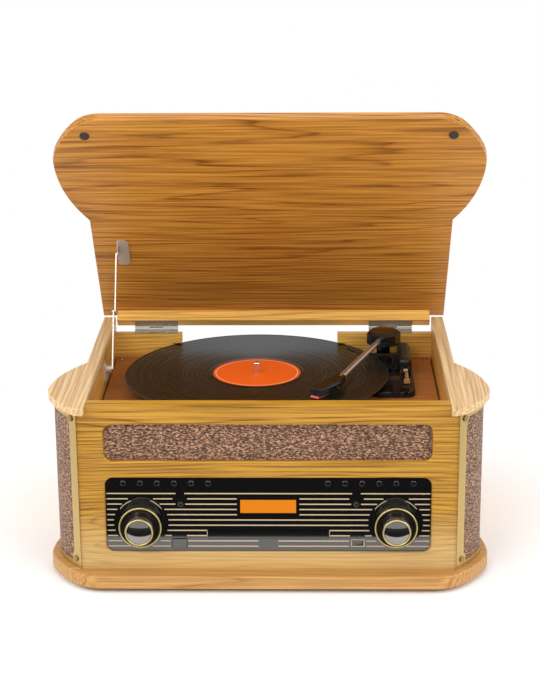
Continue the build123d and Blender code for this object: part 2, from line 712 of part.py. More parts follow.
def cd_mechanism():
    """Open-fronted carriage housing that the drawer slides in."""
    low = from_plinth(DRAWER_LOW) + DRAWER_GAP + 1
    half = DRAWER_HALF_WIDTH
    front = FRONT_THICKNESS + 0.3
    depth = 2 * DISC_RADIUS + 16
    wall = 5.0
    high = from_plinth(DRAWER_HIGH) + 1
    body = block(-half - wall, half + wall, front, front + depth, low - 22, high + 2.5)
    body -= block(-half, half, front - 1, front + depth - 4, low - 0.3, high + 0.3)
    body -= block(-half + 4, half - 4, front + 14, front + depth + 1, high, high + 5)
    legs_low = PLINTH_TOP
    for x in (-half - wall + 4, half + wall - 4):
        for y in (front + 12, front + depth - 8):
            body += round_bar(x, y, legs_low, low - 22, 4.0)
    return body


def circuit_boards():
    """Control board behind the fascia, main board on the plinth, transformer."""
    z0 = from_plinth(DRAWER_HIGH) + 6
    z1 = from_plinth(CONTROL_WINDOW_HIGH) + 8
    half = WINDOW_HALF_WIDTH + 6
    control = block(-half, half, BOARD_REAR_Y, BOARD_REAR_Y + BOARD_THICKNESS, z0, z1)
    main_z = PLINTH_TOP + 6
    main = block(20, 170, 200, 290, main_z, main_z + BOARD_THICKNESS)
    for x in (28, 162):
        for y in (208, 282):
            main += round_bar(x, y, PLINTH_TOP, main_z, 3.0)
    chips = [(50, 225, 16, 16, 3), (90, 240, 24, 12, 12), (130, 225, 10, 10, 16), (145, 262, 12, 12, 20)]
    for x, y, wide, deep, tall in chips:
        top = main_z + BOARD_THICKNESS
        main += block(x - wide / 2, x + wide / 2, y - deep / 2, y + deep / 2, top, top + tall)
    core = block(-150, -90, 220, 268, PLINTH_TOP, PLINTH_TOP + 50)
    winding = block(-144, -96, 212, 276, PLINTH_TOP + 9, PLINTH_TOP + 41)
    return joined([control, main, core + fillet(winding.edges().filter_by(Axis.Z), 6)])


BOARD_REAR_Y = FRONT_THICKNESS


def rear_socket_panel():
    """Plate in the back board with the mains inlet and two line outputs."""
    x0, x1, z0, z1 = socket_hole()
    gap = 0.2
    plate = block(x0 + gap, x1 - gap, BACK_REAR_Y - 3, BACK_REAR_Y, z0 + gap, z1 - gap)
    middle_z = (z0 + z1) / 2
    inlet_x = x1 - 22
    plate += block(inlet_x - 14, inlet_x + 14, BACK_REAR_Y - 24, BACK_REAR_Y - 2, middle_z - 9, middle_z + 9)
    recess = extrude(
        Plane.XZ * SlotOverall(17.5, 9.0), amount=16
    )
    plate -= Pos(inlet_x, BACK_REAR_Y + 1, middle_z) * recess
    for side in (-1, 1):
        pin_x = inlet_x + side * 4.3
        plate += bar_along_y(pin_x, middle_z, BACK_REAR_Y - 16, BACK_REAR_Y - 5, 1.1)
    for index in range(2):
        out_x = x0 + 18 + index * 18
        plate += bar_along_y(out_x, middle_z, BACK_REAR_Y - 12, BACK_REAR_Y + 2, 5.5)
        plate += bar_along_y(out_x, middle_z, BACK_REAR_Y + 2, BACK_REAR_Y + 9, 4.15)
        plate -= bar_along_y(out_x, middle_z, BACK_REAR_Y - 4, BACK_REAR_Y + 10, 1.6)
    return plate


def spindle():
    """Fixed steel spindle with the flange that screws it to the deck."""
    top = RECORD_LEVEL + SPINDLE_ABOVE_RECORD
    low = DECK_UNDER - SPINDLE_BELOW_DECK
    pin = round_bar(RECORD_X, RECORD_Y, low, top, SPINDLE_RADIUS)
    pin = fillet(pin.edges().sort_by(Axis.Z)[-1], 2.6)
    flange = round_bar(RECORD_X, RECORD_Y, DECK_TOP, DECK_TOP + 2, BEARING_FLANGE)
    body = round_bar(RECORD_X, RECORD_Y, low + 4, DECK_TOP, BEARING_BODY)
    return pin + flange + body


def platter():
    """Dished platter: rim skirt, web, hub and the ring that the belt drives."""
    top = PLATTER_TOP
    web = top - PLATTER_WEB
    hub = 11.0
    bore = SPINDLE_RADIUS + SHAFT_CLEARANCE
    hub_low = DECK_TOP + 2.3
    ring_low = PLATTER_LOW + 1.0
    points = [
        (bore, hub_low), (hub, hub_low), (hub, web), (BELT_RING_RADIUS - BELT_RING_WALL, web),
        (BELT_RING_RADIUS - BELT_RING_WALL, ring_low), (BELT_RING_RADIUS, ring_low), (BELT_RING_RADIUS, web),
        (PLATTER_RADIUS - PLATTER_SKIRT, web), (PLATTER_RADIUS - PLATTER_SKIRT, PLATTER_LOW),
        (PLATTER_RADIUS - 0.6, PLATTER_LOW), (PLATTER_RADIUS, top - 1.2), (PLATTER_RADIUS - 1.2, top), (bore, top),
    ]
    sketch = make_face(Polyline(*points, close=True))
    return Pos(RECORD_X, RECORD_Y, 0) * revolve(Plane.XZ * sketch, Axis.Z)


def flat_ring(outer, inner, low, high):
    """Flat disc with a centre hole, on the turntable's axis."""
    disc = round_bar(RECORD_X, RECORD_Y, low, high, outer)
    return disc - round_bar(RECORD_X, RECORD_Y, low - 1, high + 1, inner)


def slip_mat():
    mat = flat_ring(MAT_RADIUS, SPINDLE_RADIUS + 0.3, PLATTER_TOP, RECORD_UNDER)
    return chamfer(mat.edges().group_by(Axis.Z)[-1].sort_by(SortBy.LENGTH)[-1], 0.5)


def record_disc():
    """Vinyl record: raised edge bead, thin groove field, raised label seat."""
    top = RECORD_LEVEL
    under = RECORD_UNDER
    bore = SPINDLE_RADIUS + 0.1
    dip = 0.35
    seat = LABEL_RADIUS + 2.5
    points = [
        (bore, under), (seat, under), (seat + 3, under + dip), (RECORD_RADIUS - 3.5, under + dip),
        (RECORD_RADIUS - 1.5, under), (RECORD_RADIUS - 0.4, under + 0.4), (RECORD_RADIUS, (top + under) / 2),
        (RECORD_RADIUS - 0.4, top - 0.4), (RECORD_RADIUS - 1.5, top), (RECORD_RADIUS - 3.5, top - dip),
        (seat + 3, top - dip), (seat, top), (LABEL_RADIUS, top), (LABEL_RADIUS, top - LABEL_THICKNESS),
        (bore, top - LABEL_THICKNESS),
    ]
    sketch = make_face(Polyline(*points, close=True))
    return Pos(RECORD_X, RECORD_Y, 0) * revolve(Plane.XZ * sketch, Axis.Z)


def record_label():
    return flat_ring(LABEL_RADIUS, SPINDLE_RADIUS + 0.1, RECORD_LEVEL - LABEL_THICKNESS, RECORD_LEVEL)


def belt_level():
    """Lower and upper edge of the belt."""
    middle = (PLATTER_LOW + 1.0 + PLATTER_TOP - PLATTER_WEB) / 2
    return middle - BELT_WIDTH / 2, middle + BELT_WIDTH / 2


def belt_loop(around_ring, around_pulley, low, high):
    """Solid inside a belt line that wraps the ring and the pulley."""
    ring = Pos(RECORD_X, RECORD_Y) * Circle(around_ring)
    pulley = Pos(MOTOR_X, MOTOR_Y) * Circle(around_pulley)
    span = RECORD_Y - MOTOR_Y
    lean = math.asin((around_ring - around_pulley) / span)
    corners = []
    for side, middle_y, radius in (
        (1, RECORD_Y, around_ring),
        (1, MOTOR_Y, around_pulley),
        (-1, MOTOR_Y, around_pulley),
        (-1, RECORD_Y, around_ring),
    ):
        x = RECORD_X + side * radius * math.cos(lean)
        corners.append((x, middle_y - radius * math.sin(lean)))
    web = make_face(Polyline(*corners, close=True))
    return extrude(Pos(0, 0, low) * (ring + pulley + web), amount=high - low)


def drive_belt():
    """Flat belt round the platter's inner ring and the motor pulley."""
    low, high = belt_level()
    inside_ring = BELT_RING_RADIUS + BELT_GAP
    inside_pulley = PULLEY_RADIUS + BELT_GAP
    outer = belt_loop(inside_ring + BELT_THICKNESS, inside_pulley + BELT_THICKNESS, low, high)
    return outer - belt_loop(inside_ring, inside_pulley, low - 1, high + 1)


def drive_motor():
    """Motor hung under the deck, with its mounting ears."""
    can = round_bar(MOTOR_X, MOTOR_Y, DECK_UNDER - 1 - MOTOR_LENGTH, DECK_UNDER - 1, MOTOR_RADIUS)
    can = fillet(can.edges().sort_by(Axis.Z)[0], 2.0)
    ears = Pos(MOTOR_X, MOTOR_Y, DECK_UNDER - 1) * extrude(SlotOverall(66, 14), amount=1)
    boss = round_bar(MOTOR_X, MOTOR_Y, DECK_UNDER - 0.5, DECK_UNDER + 2, 5.0)
    shaft_bore = round_bar(MOTOR_X, MOTOR_Y, DECK_UNDER - 10, DECK_UNDER + 3, 1.0 + SHAFT_CLEARANCE)
    return can + ears + boss - shaft_bore


def motor_pulley():
    """Crowned pulley between two rims, on the motor shaft."""
    low, high = belt_level()
    rim = 0.7
    room = 0.5
    pulley = round_bar(MOTOR_X, MOTOR_Y, low - room, high + room, PULLEY_RADIUS)
    for z0 in (low - room - rim, high + room):
        pulley += round_bar(MOTOR_X, MOTOR_Y, z0, z0 + rim, PULLEY_RADIUS + 1.5)
    shaft = round_bar(MOTOR_X, MOTOR_Y, DECK_UNDER - 9, low - room, 1.0)
    return pulley + shaft


def at_arm(shape):
    """Place a piece drawn with the arm along -Y and the pivot at the origin."""
    return Pos(PIVOT_X, PIVOT_Y, 0) * Rot(0, 0, -ARM_PLAY_ANGLE) * shape


def arm_slope():
    """Downward lean of the tube, in degrees."""
    return math.degrees(math.atan2(TUBE_FRONT_DROP, ARM_LENGTH - HEADSHELL_LENGTH))


def tube_z(distance):
    """Height of the tube's axis at a distance from the pivot."""
    return PIVOT_Z - distance * math.tan(math.radians(arm_slope()))


def rest_place():
    """Middle of the arm rest, under the parked arm."""
    turn = math.radians(-90 - ARM_PLAY_ANGLE + ARM_PARK_TURN)
    return PIVOT_X + REST_DISTANCE * math.cos(turn), PIVOT_Y + REST_DISTANCE * math.sin(turn)


def tonearm_base():
    """Moulded base: plate, pivot boss, lift housing and the arm rest post."""
    top = DECK_TOP + ARM_BASE_THICKNESS
    plate_sketch = Pos(PIVOT_X + 7, PIVOT_Y - 48) * RectangleRounded(ARM_BASE_WIDTH, ARM_BASE_LENGTH, 12)
    plate = extrude(Pos(0, 0, DECK_TOP) * plate_sketch, amount=ARM_BASE_THICKNESS)
    plate = fillet(plate.faces().sort_by(Axis.Z)[-1].edges(), 2.0)
    hump_sketch = Pos(PIVOT_X + 23.5, PIVOT_Y - 20) * RectangleRounded(ARM_HUMP_WIDTH, ARM_HUMP_LENGTH, 7)
    hump = extrude(Pos(0, 0, top - 3) * hump_sketch, amount=20)
    hump = fillet(hump.faces().sort_by(Axis.Z)[-1].edges(), 5.0)
    plate += hump
    plate += round_bar(PIVOT_X, PIVOT_Y, top - 2, ARM_BOSS_TOP, 13.0)
    rest_x, rest_y = rest_place()
    rest_top = tube_z(REST_DISTANCE) - TUBE_RADIUS - 0.5
    post = round_bar(rest_x, rest_y, top - 2, rest_top, 7.2)
    post += block(rest_x + 4.6, rest_x + 7, rest_y - 4, rest_y + 4, rest_top - 3, rest_top + 8)
    plate += post
    plate += block(CUE_LEVER_X - 5, CUE_LEVER_X - 2.4, CUE_LEVER_Y - 5, CUE_LEVER_Y + 5, top - 2, CUE_AXIS_Z + 4)
    plate += block(CUE_LEVER_X + 2.4, CUE_LEVER_X + 5, CUE_LEVER_Y - 5, CUE_LEVER_Y + 5, top - 2, CUE_AXIS_Z + 4)
    plate -= bar_along_x(CUE_LEVER_X - 6, CUE_LEVER_X + 6, CUE_LEVER_Y, CUE_AXIS_Z, 1.5 + SHAFT_CLEARANCE)
    plate -= round_bar(PIVOT_X, PIVOT_Y, DECK_TOP - 1, ARM_BOSS_TOP + 1, ARM_SHAFT + SHAFT_CLEARANCE)
    lift_x, lift_y = lift_place()
    plate += round_bar(lift_x, lift_y, top - 2, top + 3, 5.5)
    plate -= round_bar(lift_x, lift_y, DECK_TOP + 1, top + 4, 2.5 + SHAFT_CLEARANCE)
    slot = block(SPEED_X - 2.3, SPEED_X + 2.3, SPEED_Y - 9, SPEED_Y + 9, DECK_TOP + 3, top + 1)
    return plate - slot


ARM_BOSS_TOP = DECK_TOP + 11.5
CUE_AXIS_Z = DECK_TOP + 13.0
SPEED_X = PIVOT_X + 21.0
SPEED_Y = PIVOT_Y - 114.0


def lift_place():
    """Plunger of the arm lift, in front of the pivot under the playing arm."""
    turn = math.radians(-90 - ARM_PLAY_ANGLE + LIFT_TURN)
    return PIVOT_X + LIFT_RADIUS * math.cos(turn), PIVOT_Y + LIFT_RADIUS * math.sin(turn)


def lift_platform():
    """Curved bar on a plunger, bent round the arm's pivot."""
    top = tube_z(LIFT_RADIUS + LIFT_WIDTH / 2) - TUBE_RADIUS - LIFT_GAP
    outer = LIFT_RADIUS + LIFT_WIDTH / 2
    inner = LIFT_RADIUS - LIFT_WIDTH / 2
    ring = round_bar(0, 0, top - 2, top, outer) - round_bar(0, 0, top - 3, top + 1, inner)
    reach = 60.0
    wedge = extrude(
        Pos(0, 0, top - 3) * make_face(Polyline((0, 0), (-reach, -reach), (reach * 0.9, -reach), close=True)),
        amount=4,
    )
    bar = at_arm(ring & wedge)
    lift_x, lift_y = lift_place()
    plunger = round_bar(lift_x, lift_y, DECK_TOP + 2, top - 1, 2.5)
    return bar + plunger


def cue_lever():
    """Lever with a curved handle that raises the arm lift."""
    hub = bar_along_x(CUE_LEVER_X - 2.2, CUE_LEVER_X + 2.2, CUE_LEVER_Y, CUE_AXIS_Z, 3.6)
    pin = bar_along_x(CUE_LEVER_X - 4.8, CUE_LEVER_X + 4.8, CUE_LEVER_Y, CUE_AXIS_Z, 1.5)
    path = Spline(
        (CUE_LEVER_Y - 2, CUE_AXIS_Z),
        (CUE_LEVER_Y - 16, CUE_AXIS_Z + 4),
        (CUE_LEVER_Y - 32, CUE_AXIS_Z - 1),
        tangents=[(-1, 0.6), (-1, -0.4)],
    )
    path = Plane.YZ * path
    section = Plane(path @ 0, x_dir=(1, 0, 0), z_dir=path % 0) * RectangleRounded(4, 2.4, 0.9)
    arm = Pos(CUE_LEVER_X, 0, 0) * sweep(section, path)
    tab = Pos(CUE_LEVER_X, CUE_LEVER_Y - 33, CUE_AXIS_Z - 1.5) * Rot(20, 0, 0) * Box(7, 9, 2.4)
    tab = fillet(tab.edges().filter_by(Axis.X, reverse=True).filter_by(GeomType.LINE).group_by(SortBy.LENGTH)[0], 1.0)
    return hub + pin + arm + tab


def tonearm_turret():
    """Turning post with its shaft, tongue and the cross pin of the arm."""
    post = round_bar(0, 0, ARM_BOSS_TOP + 0.3, PIVOT_Z - 9, 8.0)
    post += round_bar(0, 0, DECK_UNDER - 6, ARM_BOSS_TOP + 1, ARM_SHAFT)
    tongue = block(-4.2, 4.2, -4.5, 4.5, PIVOT_Z - 9.5, PIVOT_Z)
    tongue += bar_along_x(-4.2, 4.2, 0, PIVOT_Z, 4.5)
    pin = bar_along_x(-13, 13, 0, PIVOT_Z, 1.5)
    return at_arm(post + tongue + pin)


def tonearm_head():
    """Eight-sided housing with the counterweight, hung on the cross pin."""
    low = PIVOT_Z - 7.5
    high = low + HEAD_HEIGHT
    sketch = chamfer(Rectangle(HEAD_WIDTH, HEAD_DEPTH).vertices(), HEAD_CHAMFER)
    head = extrude(Pos(0, 1, low) * sketch, amount=HEAD_HEIGHT)
    head = chamfer(head.faces().sort_by(Axis.Z)[-1].edges(), 3.0)
    head -= block(-4.6, 4.6, -9, 9, low - 1, PIVOT_Z + 5.2)
    head -= bar_along_x(-13.5, 13.5, 0, PIVOT_Z, 1.5 + SHAFT_CLEARANCE)
    head -= tube_solid(TUBE_RADIUS + 0.05, 12.0, 60.0)
    return at_arm(head)


def tube_solid(radius, start, end):
    """Round bar along the leaning arm, between two distances from the pivot."""
    length = end - start
    bar = Rot(90, 0, 0) * Cylinder(radius, length)
    return Pos(0, 0, PIVOT_Z) * Rot(arm_slope(), 0, 0) * Pos(0, -(start + end) / 2, 0) * bar


def arm_tube():
    """Thin-walled metal tube from the head to the headshell."""
    end = ARM_LENGTH - HEADSHELL_LENGTH + 6
    return at_arm(tube_solid(TUBE_RADIUS, 12.2, end) - tube_solid(TUBE_BORE, 12, end + 1))


def shell_plan(points, low, tall):
    """Part of the headshell, from its plan around the bend of the shell."""
    return extrude(Pos(0, 0, low) * make_face(Polyline(*points, close=True)), amount=tall)


def at_bend(shape):
    """Place a piece drawn with the bend at the origin and the record's top at z = 0."""
    return at_arm(Pos(0, HEADSHELL_BEND - ARM_LENGTH, RECORD_LEVEL) * Rot(0, 0, -HEADSHELL_TURN) * shape)


def headshell():
    """Tapered moulded shell with cartridge body, tube socket and finger lift."""
    front = -HEADSHELL_BEND - 7
    rear = HEADSHELL_LENGTH - HEADSHELL_BEND - 2
    low = 4.0
    tall = 8.6
    plan = [(-7, front), (7, front), (9.4, front + 12), (8.8, 4), (-8.8, 4), (-9.4, front + 12)]
    shell = shell_plan(plan, low, tall)
    shell = chamfer(shell.faces().sort_by(Axis.Z)[-1].edges(), 1.8)
    shell -= extrude(Pos(0, front + 21, low - 0.1) * Rectangle(11, 27), amount=2.4)
    lift = Spline((8.0, -6, low + 5), (13, -5, low + 4), (16, -4, low + 7), tangents=[(1, 0, -0.2), (0.3, 0, 1)])
    start = Plane(lift @ 0, x_dir=(0, 1, 0), z_dir=lift % 0)
    shell += sweep(start * Rectangle(5, 1.4), lift)
    neck = shell_plan([(-8.6, -2), (8.6, -2), (4.6, rear), (-4.6, rear)], low + 0.4, tall - 1.2)
    neck = at_arm(Pos(0, HEADSHELL_BEND - ARM_LENGTH, RECORD_LEVEL) * neck)
    whole = at_bend(shell) + neck
    return whole - at_arm(tube_solid(TUBE_RADIUS + 0.05, 60, ARM_LENGTH - HEADSHELL_LENGTH + 6.2))


def stylus():
    """Red stylus holder under the cartridge, with the needle point."""
    low = STYLUS_GAP
    side = [(-34, 3.9), (-35, 2.2), (-29, low + 1.3), (-14, low + 1.4), (-9, 3.9)]
    profile = make_face(Polyline(*side, close=True))
    holder = extrude(Plane.YZ * profile, amount=5.2, both=True)
    needle = Pos(0, -HEADSHELL_BEND, low + 0.7) * Cone(0.15, 0.9, 1.4)
    return at_bend(holder + needle)


def speed_selector():
    """Small slide knob on the tonearm base."""
    top = DECK_TOP + ARM_BASE_THICKNESS
    stem = block(SPEED_X - 2.0, SPEED_X + 2.0, SPEED_Y - 5, SPEED_Y + 1, DECK_TOP + 3.2, top + 0.5)
    cap = block(SPEED_X - 3.5, SPEED_X + 3.5, SPEED_Y - 5, SPEED_Y + 1, top + 0.3, top + 4.0)
    return stem + fillet(cap.edges().filter_by(Axis.Z), 1.2)


def opened(shape):
    """Turn a piece that was made for the closed lid to the open pose."""
    return shape.rotate(Axis((0, HINGE_Y, HINGE_Z), (1, 0, 0)), -LID_OPEN)


def lid_board():
    sketch = plan_sketch(
        LID_FRONT_Y, LID_REAR_Y, EDGE_GROW_SHOULDER, EDGE_GROW_FLANK, LID_NOSE_ROUNDING
    )
    board = extrude(Pos(0, 0, LID_UNDER) * sketch, amount=LID_THICKNESS)
    faces = board.faces().sort_by(Axis.Z)
    return opened(fillet(faces[0].edges() + faces[-1].edges(), LID_EDGE_ROUNDING))


def lid_strip():
    rear = LID_REAR_Y - LID_STRIP_SETBACK
    strip = block(
        -LID_STRIP_HALF, LID_STRIP_HALF, rear - LID_STRIP_THICKNESS, rear, LID_UNDER - LID_STRIP_DROP, LID_UNDER
    )
    return opened(strip)


def lid_bumpers():
    y = LID_FRONT_Y + BUMPER_FROM_FRONT
    low = CASE_TOP + BUMPER_CLEARANCE
    bumpers = []
    for x in (-BUMPER_X, BUMPER_X):
        pad = round_bar(x, y, low, LID_UNDER, BUMPER_RADIUS)
        bumpers.append(opened(fillet(pad.edges().sort_by(Axis.Z)[0], 0.6)))
    return joined(bumpers)


def hinge_leaf(x, low_side):
    """One leaf of a hinge, drawn closed, with its share of the knuckles."""
    third = HINGE_LENGTH / 3
    gap = 0.3
    if low_side:
        z0, z1 = BACK_TOP, BACK_TOP + HINGE_LEAF
        front = BACK_FRONT_Y + 0.5
        spans = [(-HINGE_LENGTH / 2, -third / 2 - gap), (third / 2 + gap, HINGE_LENGTH / 2)]
    else:
        z1 = LID_UNDER - LID_STRIP_DROP
        z0 = z1 - HINGE_LEAF
        front = LID_REAR_Y - LID_STRIP_SETBACK - LID_STRIP_THICKNESS + 1
        spans = [(-third / 2, third / 2)]
    leaf = block(x - HINGE_LENGTH / 2, x + HINGE_LENGTH / 2, front, HINGE_Y - KNUCKLE_RADIUS - 0.6, z0, z1)
    for start, end in spans:
        leaf += block(x + start, x + end, HINGE_Y - KNUCKLE_RADIUS - 1, HINGE_Y, z0, z1)
        leaf += bar_along_x(x + start, x + end, HINGE_Y, HINGE_Z, KNUCKLE_RADIUS)
    half = HINGE_LENGTH / 2
    if low_side:
        return leaf - bar_along_x(x - half - 1, x + half + 1, HINGE_Y, HINGE_Z, HINGE_PIN_RADIUS + SHAFT_CLEARANCE)
    return leaf + bar_along_x(x - half, x + half, HINGE_Y, HINGE_Z, HINGE_PIN_RADIUS)


def hinge_body_leaves():
    return joined([hinge_leaf(x, True) for x in (-HINGE_X, HINGE_X)])


def hinge_lid_leaves():
    """Leaves on the lid's strip, each in one piece with its hinge pin."""
    return joined([opened(hinge_leaf(x, False)) for x in (-HINGE_X, HINGE_X)])


def stay_points():
    """Stay pivots with the lid open: top pivot, elbow and foot pivot."""
    turn = math.radians(-LID_OPEN)
    dy = STAY_TOP_Y - HINGE_Y
    dz = STAY_TOP_Z - HINGE_Z
    top = (
        HINGE_Y + dy * math.cos(turn) - dz * math.sin(turn),
        HINGE_Z + dy * math.sin(turn) + dz * math.cos(turn),
    )
    foot = (STAY_FOOT_Y, STAY_FOOT_Z)
    elbow = ((top[0] + foot[0]) / 2, (top[1] + foot[1]) / 2)
    return top, elbow, foot


def stay_arm(x, start, end, hole_at_start, hole_at_end):
    """Flat strap with round ends between two pivots."""
    length = math.hypot(end[0] - start[0], end[1] - start[1])
    strap = SlotCenterToCenter(length, STAY_WIDTH)
    if hole_at_start:
        strap -= Pos(-length / 2, 0) * Circle(STAY_PIN_RADIUS + SHAFT_CLEARANCE)
    if hole_at_end:
        strap -= Pos(length / 2, 0) * Circle(STAY_PIN_RADIUS + SHAFT_CLEARANCE)
    solid = extrude(strap, amount=STAY_THICKNESS / 2, both=True)
    middle = (x, (start[0] + end[0]) / 2, (start[1] + end[1]) / 2)
    return Plane(middle, x_dir=(0, end[0] - start[0], end[1] - start[1]), z_dir=(1, 0, 0)) * solid


def stay_upper_arm():
    top, elbow, foot = stay_points()
    return stay_arm(STAY_UPPER_X, top, elbow, True, False)


def stay_lower_arm():
    """Lower strap with the rivet of the elbow on its outer face."""
    top, elbow, foot = stay_points()
    arm = stay_arm(STAY_LOWER_X, foot, elbow, True, False)
    outer = STAY_LOWER_X - STAY_THICKNESS / 2
    return arm + bar_along_x(outer - 1.2, outer + 0.2, elbow[0], elbow[1], 3.2)


def stay_lid_bracket():
    """Plate under the lid with a bent ear and the top pivot pin."""
    ear_x = STAY_UPPER_X + STAY_THICKNESS / 2 + 0.2
    ear = 1.2
    plate = block(ear_x, ear_x + 13.4, STAY_TOP_Y - 16, STAY_TOP_Y + 26, LID_UNDER - ear, LID_UNDER)
    plate = fillet(plate.edges().filter_by(Axis.Z).sort_by(Axis.X)[-2:], 6.0)
    tab = block(ear_x, ear_x + ear, STAY_TOP_Y - 8, STAY_TOP_Y + 8, STAY_TOP_Z - 1, LID_UNDER)
    tab += bar_along_x(ear_x, ear_x + ear, STAY_TOP_Y, STAY_TOP_Z, 4.5)
    pin = bar_along_x(
        STAY_UPPER_X - STAY_THICKNESS / 2 - 0.15, ear_x + 0.5, STAY_TOP_Y, STAY_TOP_Z, STAY_PIN_RADIUS
    )
    return opened(plate + tab + pin)


def stay_wall_bracket():
    """Plate on the left wall with the foot pivot stud."""
    wall = -INNER_HALF
    plate = block(wall, wall + 2, STAY_FOOT_Y - 8, STAY_FOOT_Y + 12, STAY_FOOT_Z - 14, STAY_FOOT_Z + 8)
    plate = fillet(plate.edges().filter_by(Axis.X), 3.0)
    inner = STAY_LOWER_X - STAY_THICKNESS / 2 - 0.2
    boss = bar_along_x(wall + 1, inner, STAY_FOOT_Y, STAY_FOOT_Z, 4.5)
    pin = bar_along_x(inner - 1, STAY_LOWER_X + STAY_THICKNESS / 2, STAY_FOOT_Y, STAY_FOOT_Z, STAY_PIN_RADIUS)
    return plate + boss + pin


def save(name, shape):
    """Move a piece to the object's origin and write it."""
    placed = shape.moved(Location((0, -MIDDLE_Y, 0)))
    solids = placed.solids()
    whole = solids[0] if len(solids) == 1 else Compound(children=list(solids))
    whole.label = name
    export_step(whole, f"parts/{name}.step")


def main():
    os.makedirs("parts", exist_ok=True)
    makers = [
        base_plinth, rubber_feet, front_panel, side_panels, top_boards, back_board, deck_plate,
        small_screws, cloth_grilles, speaker_trims, speaker_drivers, control_fascia, button_bezel,
        display_window, front_sockets, circuit_boards, rear_socket_panel, drive_motor, spindle,
        drive_belt, tonearm_base, hinge_body_leaves, stay_wall_bracket, cd_mechanism, lid_board,
        lid_strip, lid_bumpers, hinge_lid_leaves, stay_lid_bracket, stay_upper_arm, stay_lower_arm,
        platter, slip_mat, record_disc, record_label, motor_pulley, tonearm_turret, tonearm_head,
        arm_tube, headshell, stylus, cue_lever, lift_platform, speed_selector, power_key, cd_tray,
    ]
    for maker in makers:
        save(maker.__name__, maker())
    save("volume_knob", knob(-KNOB_X))
    save("tuning_knob", knob(KNOB_X))
    for index, x in enumerate(button_places()):
        save(f"push_button_{index + 1:02d}", push_button(x))


if __name__ == "__main__":
    main()
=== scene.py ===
# %% [markdown]
# # A retro record player
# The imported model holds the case, the turntable, the tonearm and the controls.
# This lesson gives each of them its finish: oak foil, speckled speaker cloth,
# gloss black plastic, brass, nickel and grooved vinyl. It adds the printed
# lines of the front and the gold rings of the knobs, and sets up a small studio.

# %% Load the model
import bpy
import math
import numpy as np
from mathutils import Matrix


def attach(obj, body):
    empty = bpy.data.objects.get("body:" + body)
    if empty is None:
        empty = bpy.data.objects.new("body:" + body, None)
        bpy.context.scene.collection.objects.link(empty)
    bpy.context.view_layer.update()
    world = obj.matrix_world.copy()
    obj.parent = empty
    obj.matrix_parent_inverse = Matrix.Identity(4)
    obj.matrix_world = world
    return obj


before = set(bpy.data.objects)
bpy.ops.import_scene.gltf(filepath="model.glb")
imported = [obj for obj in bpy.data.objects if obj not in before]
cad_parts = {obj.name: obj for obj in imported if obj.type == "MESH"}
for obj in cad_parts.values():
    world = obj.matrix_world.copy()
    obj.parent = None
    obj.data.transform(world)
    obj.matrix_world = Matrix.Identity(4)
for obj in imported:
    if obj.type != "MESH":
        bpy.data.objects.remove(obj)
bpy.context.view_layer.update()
print("nodes:", len(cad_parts))

# %% [markdown]
# The camera stands in front of the player, a little to the right, and looks
# down by about 17 degrees. Its place was worked out from the edges of the case
# in the photograph, so it is written as a point and three angles.

# %% Camera
MIDDLE_Y = 0.1663
CAMERA_POINT = (0.04283, -1.74453 - MIDDLE_Y, 0.8091)
CAMERA_YAW = math.radians(-1.3)
CAMERA_PITCH = math.radians(17.4)
CAMERA_ROLL = math.radians(-0.42)
LENS = 92.06


def camera_axes(yaw, pitch, roll):
    """Right, up and backward directions of a camera that looks along +Y when all angles are 0."""
    flat = math.cos(pitch)
    forward = np.array([math.sin(yaw) * flat, math.cos(yaw) * flat, -math.sin(pitch)])
    right = np.array([math.cos(yaw), -math.sin(yaw), 0.0])
    up = np.cross(right, forward)
    turned_right = right * math.cos(roll) + up * math.sin(roll)
    turned_up = up * math.cos(roll) - right * math.sin(roll)
    return turned_right, turned_up, -forward


camera_data = bpy.data.cameras.new("camera")
camera_data.lens = LENS
camera_data.sensor_width = 36.0
camera_data.sensor_fit = "AUTO"
camera_data.clip_end = 50.0
camera = bpy.data.objects.new("camera", camera_data)
bpy.context.collection.objects.link(camera)
right, up, back = camera_axes(CAMERA_YAW, CAMERA_PITCH, CAMERA_ROLL)
camera.matrix_world = Matrix([
    (right[0], up[0], back[0], CAMERA_POINT[0]),
    (right[1], up[1], back[1], CAMERA_POINT[1]),
    (right[2], up[2], back[2], CAMERA_POINT[2]),
    (0, 0, 0, 1),
])
bpy.context.scene.camera = camera
bpy.context.scene.view_settings.view_transform = "Standard"

# %% [markdown]
# Colours are written as sRGB hex values, as a paint chart gives them. The
# shader works with linear light, so one function converts them. One more
# function adds a node, sets it and links its inputs.

# %% Colour and node helpers


def colour(code):
    """sRGB hex to linear: c becomes c / 12.92 near black and ((c + 0.055) / 1.055) ** 2.4 above."""
    values = [int(code[i:i + 2], 16) / 255 for i in (1, 3, 5)]
    linear = [c / 12.92 if c <= 0.04045 else ((c + 0.055) / 1.055) ** 2.4 for c in values]
    return (*linear, 1.0)


def add_node(tree, kind, settings=None, **inputs):
    """New node of a kind. Settings are its properties; an input is a value or another node's output."""
    node = tree.nodes.new(kind)
    for name, value in (settings or {}).items():
        setattr(node, name, value)
    for name, value in inputs.items():
        key = int(name[1:]) if name[0] == "n" and name[1:].isdigit() else name.replace("_", " ")
        if isinstance(value, bpy.types.NodeSocket):
            tree.links.new(value, node.inputs[key])
        else:
            node.inputs[key].default_value = value
    return node


def new_material(name, **values):
    """Principled material with its plain values set."""
    material = bpy.data.materials.new(name)
    material.use_nodes = True
    shader = material.node_tree.nodes["Principled BSDF"]
    for key, value in values.items():
        shader.inputs[key.replace("_", " ")].default_value = value
    return material, material.node_tree, shader


def plain(name, **values):
    """Principled material that needs only its plain values."""
    return new_material(name, **values)[0]


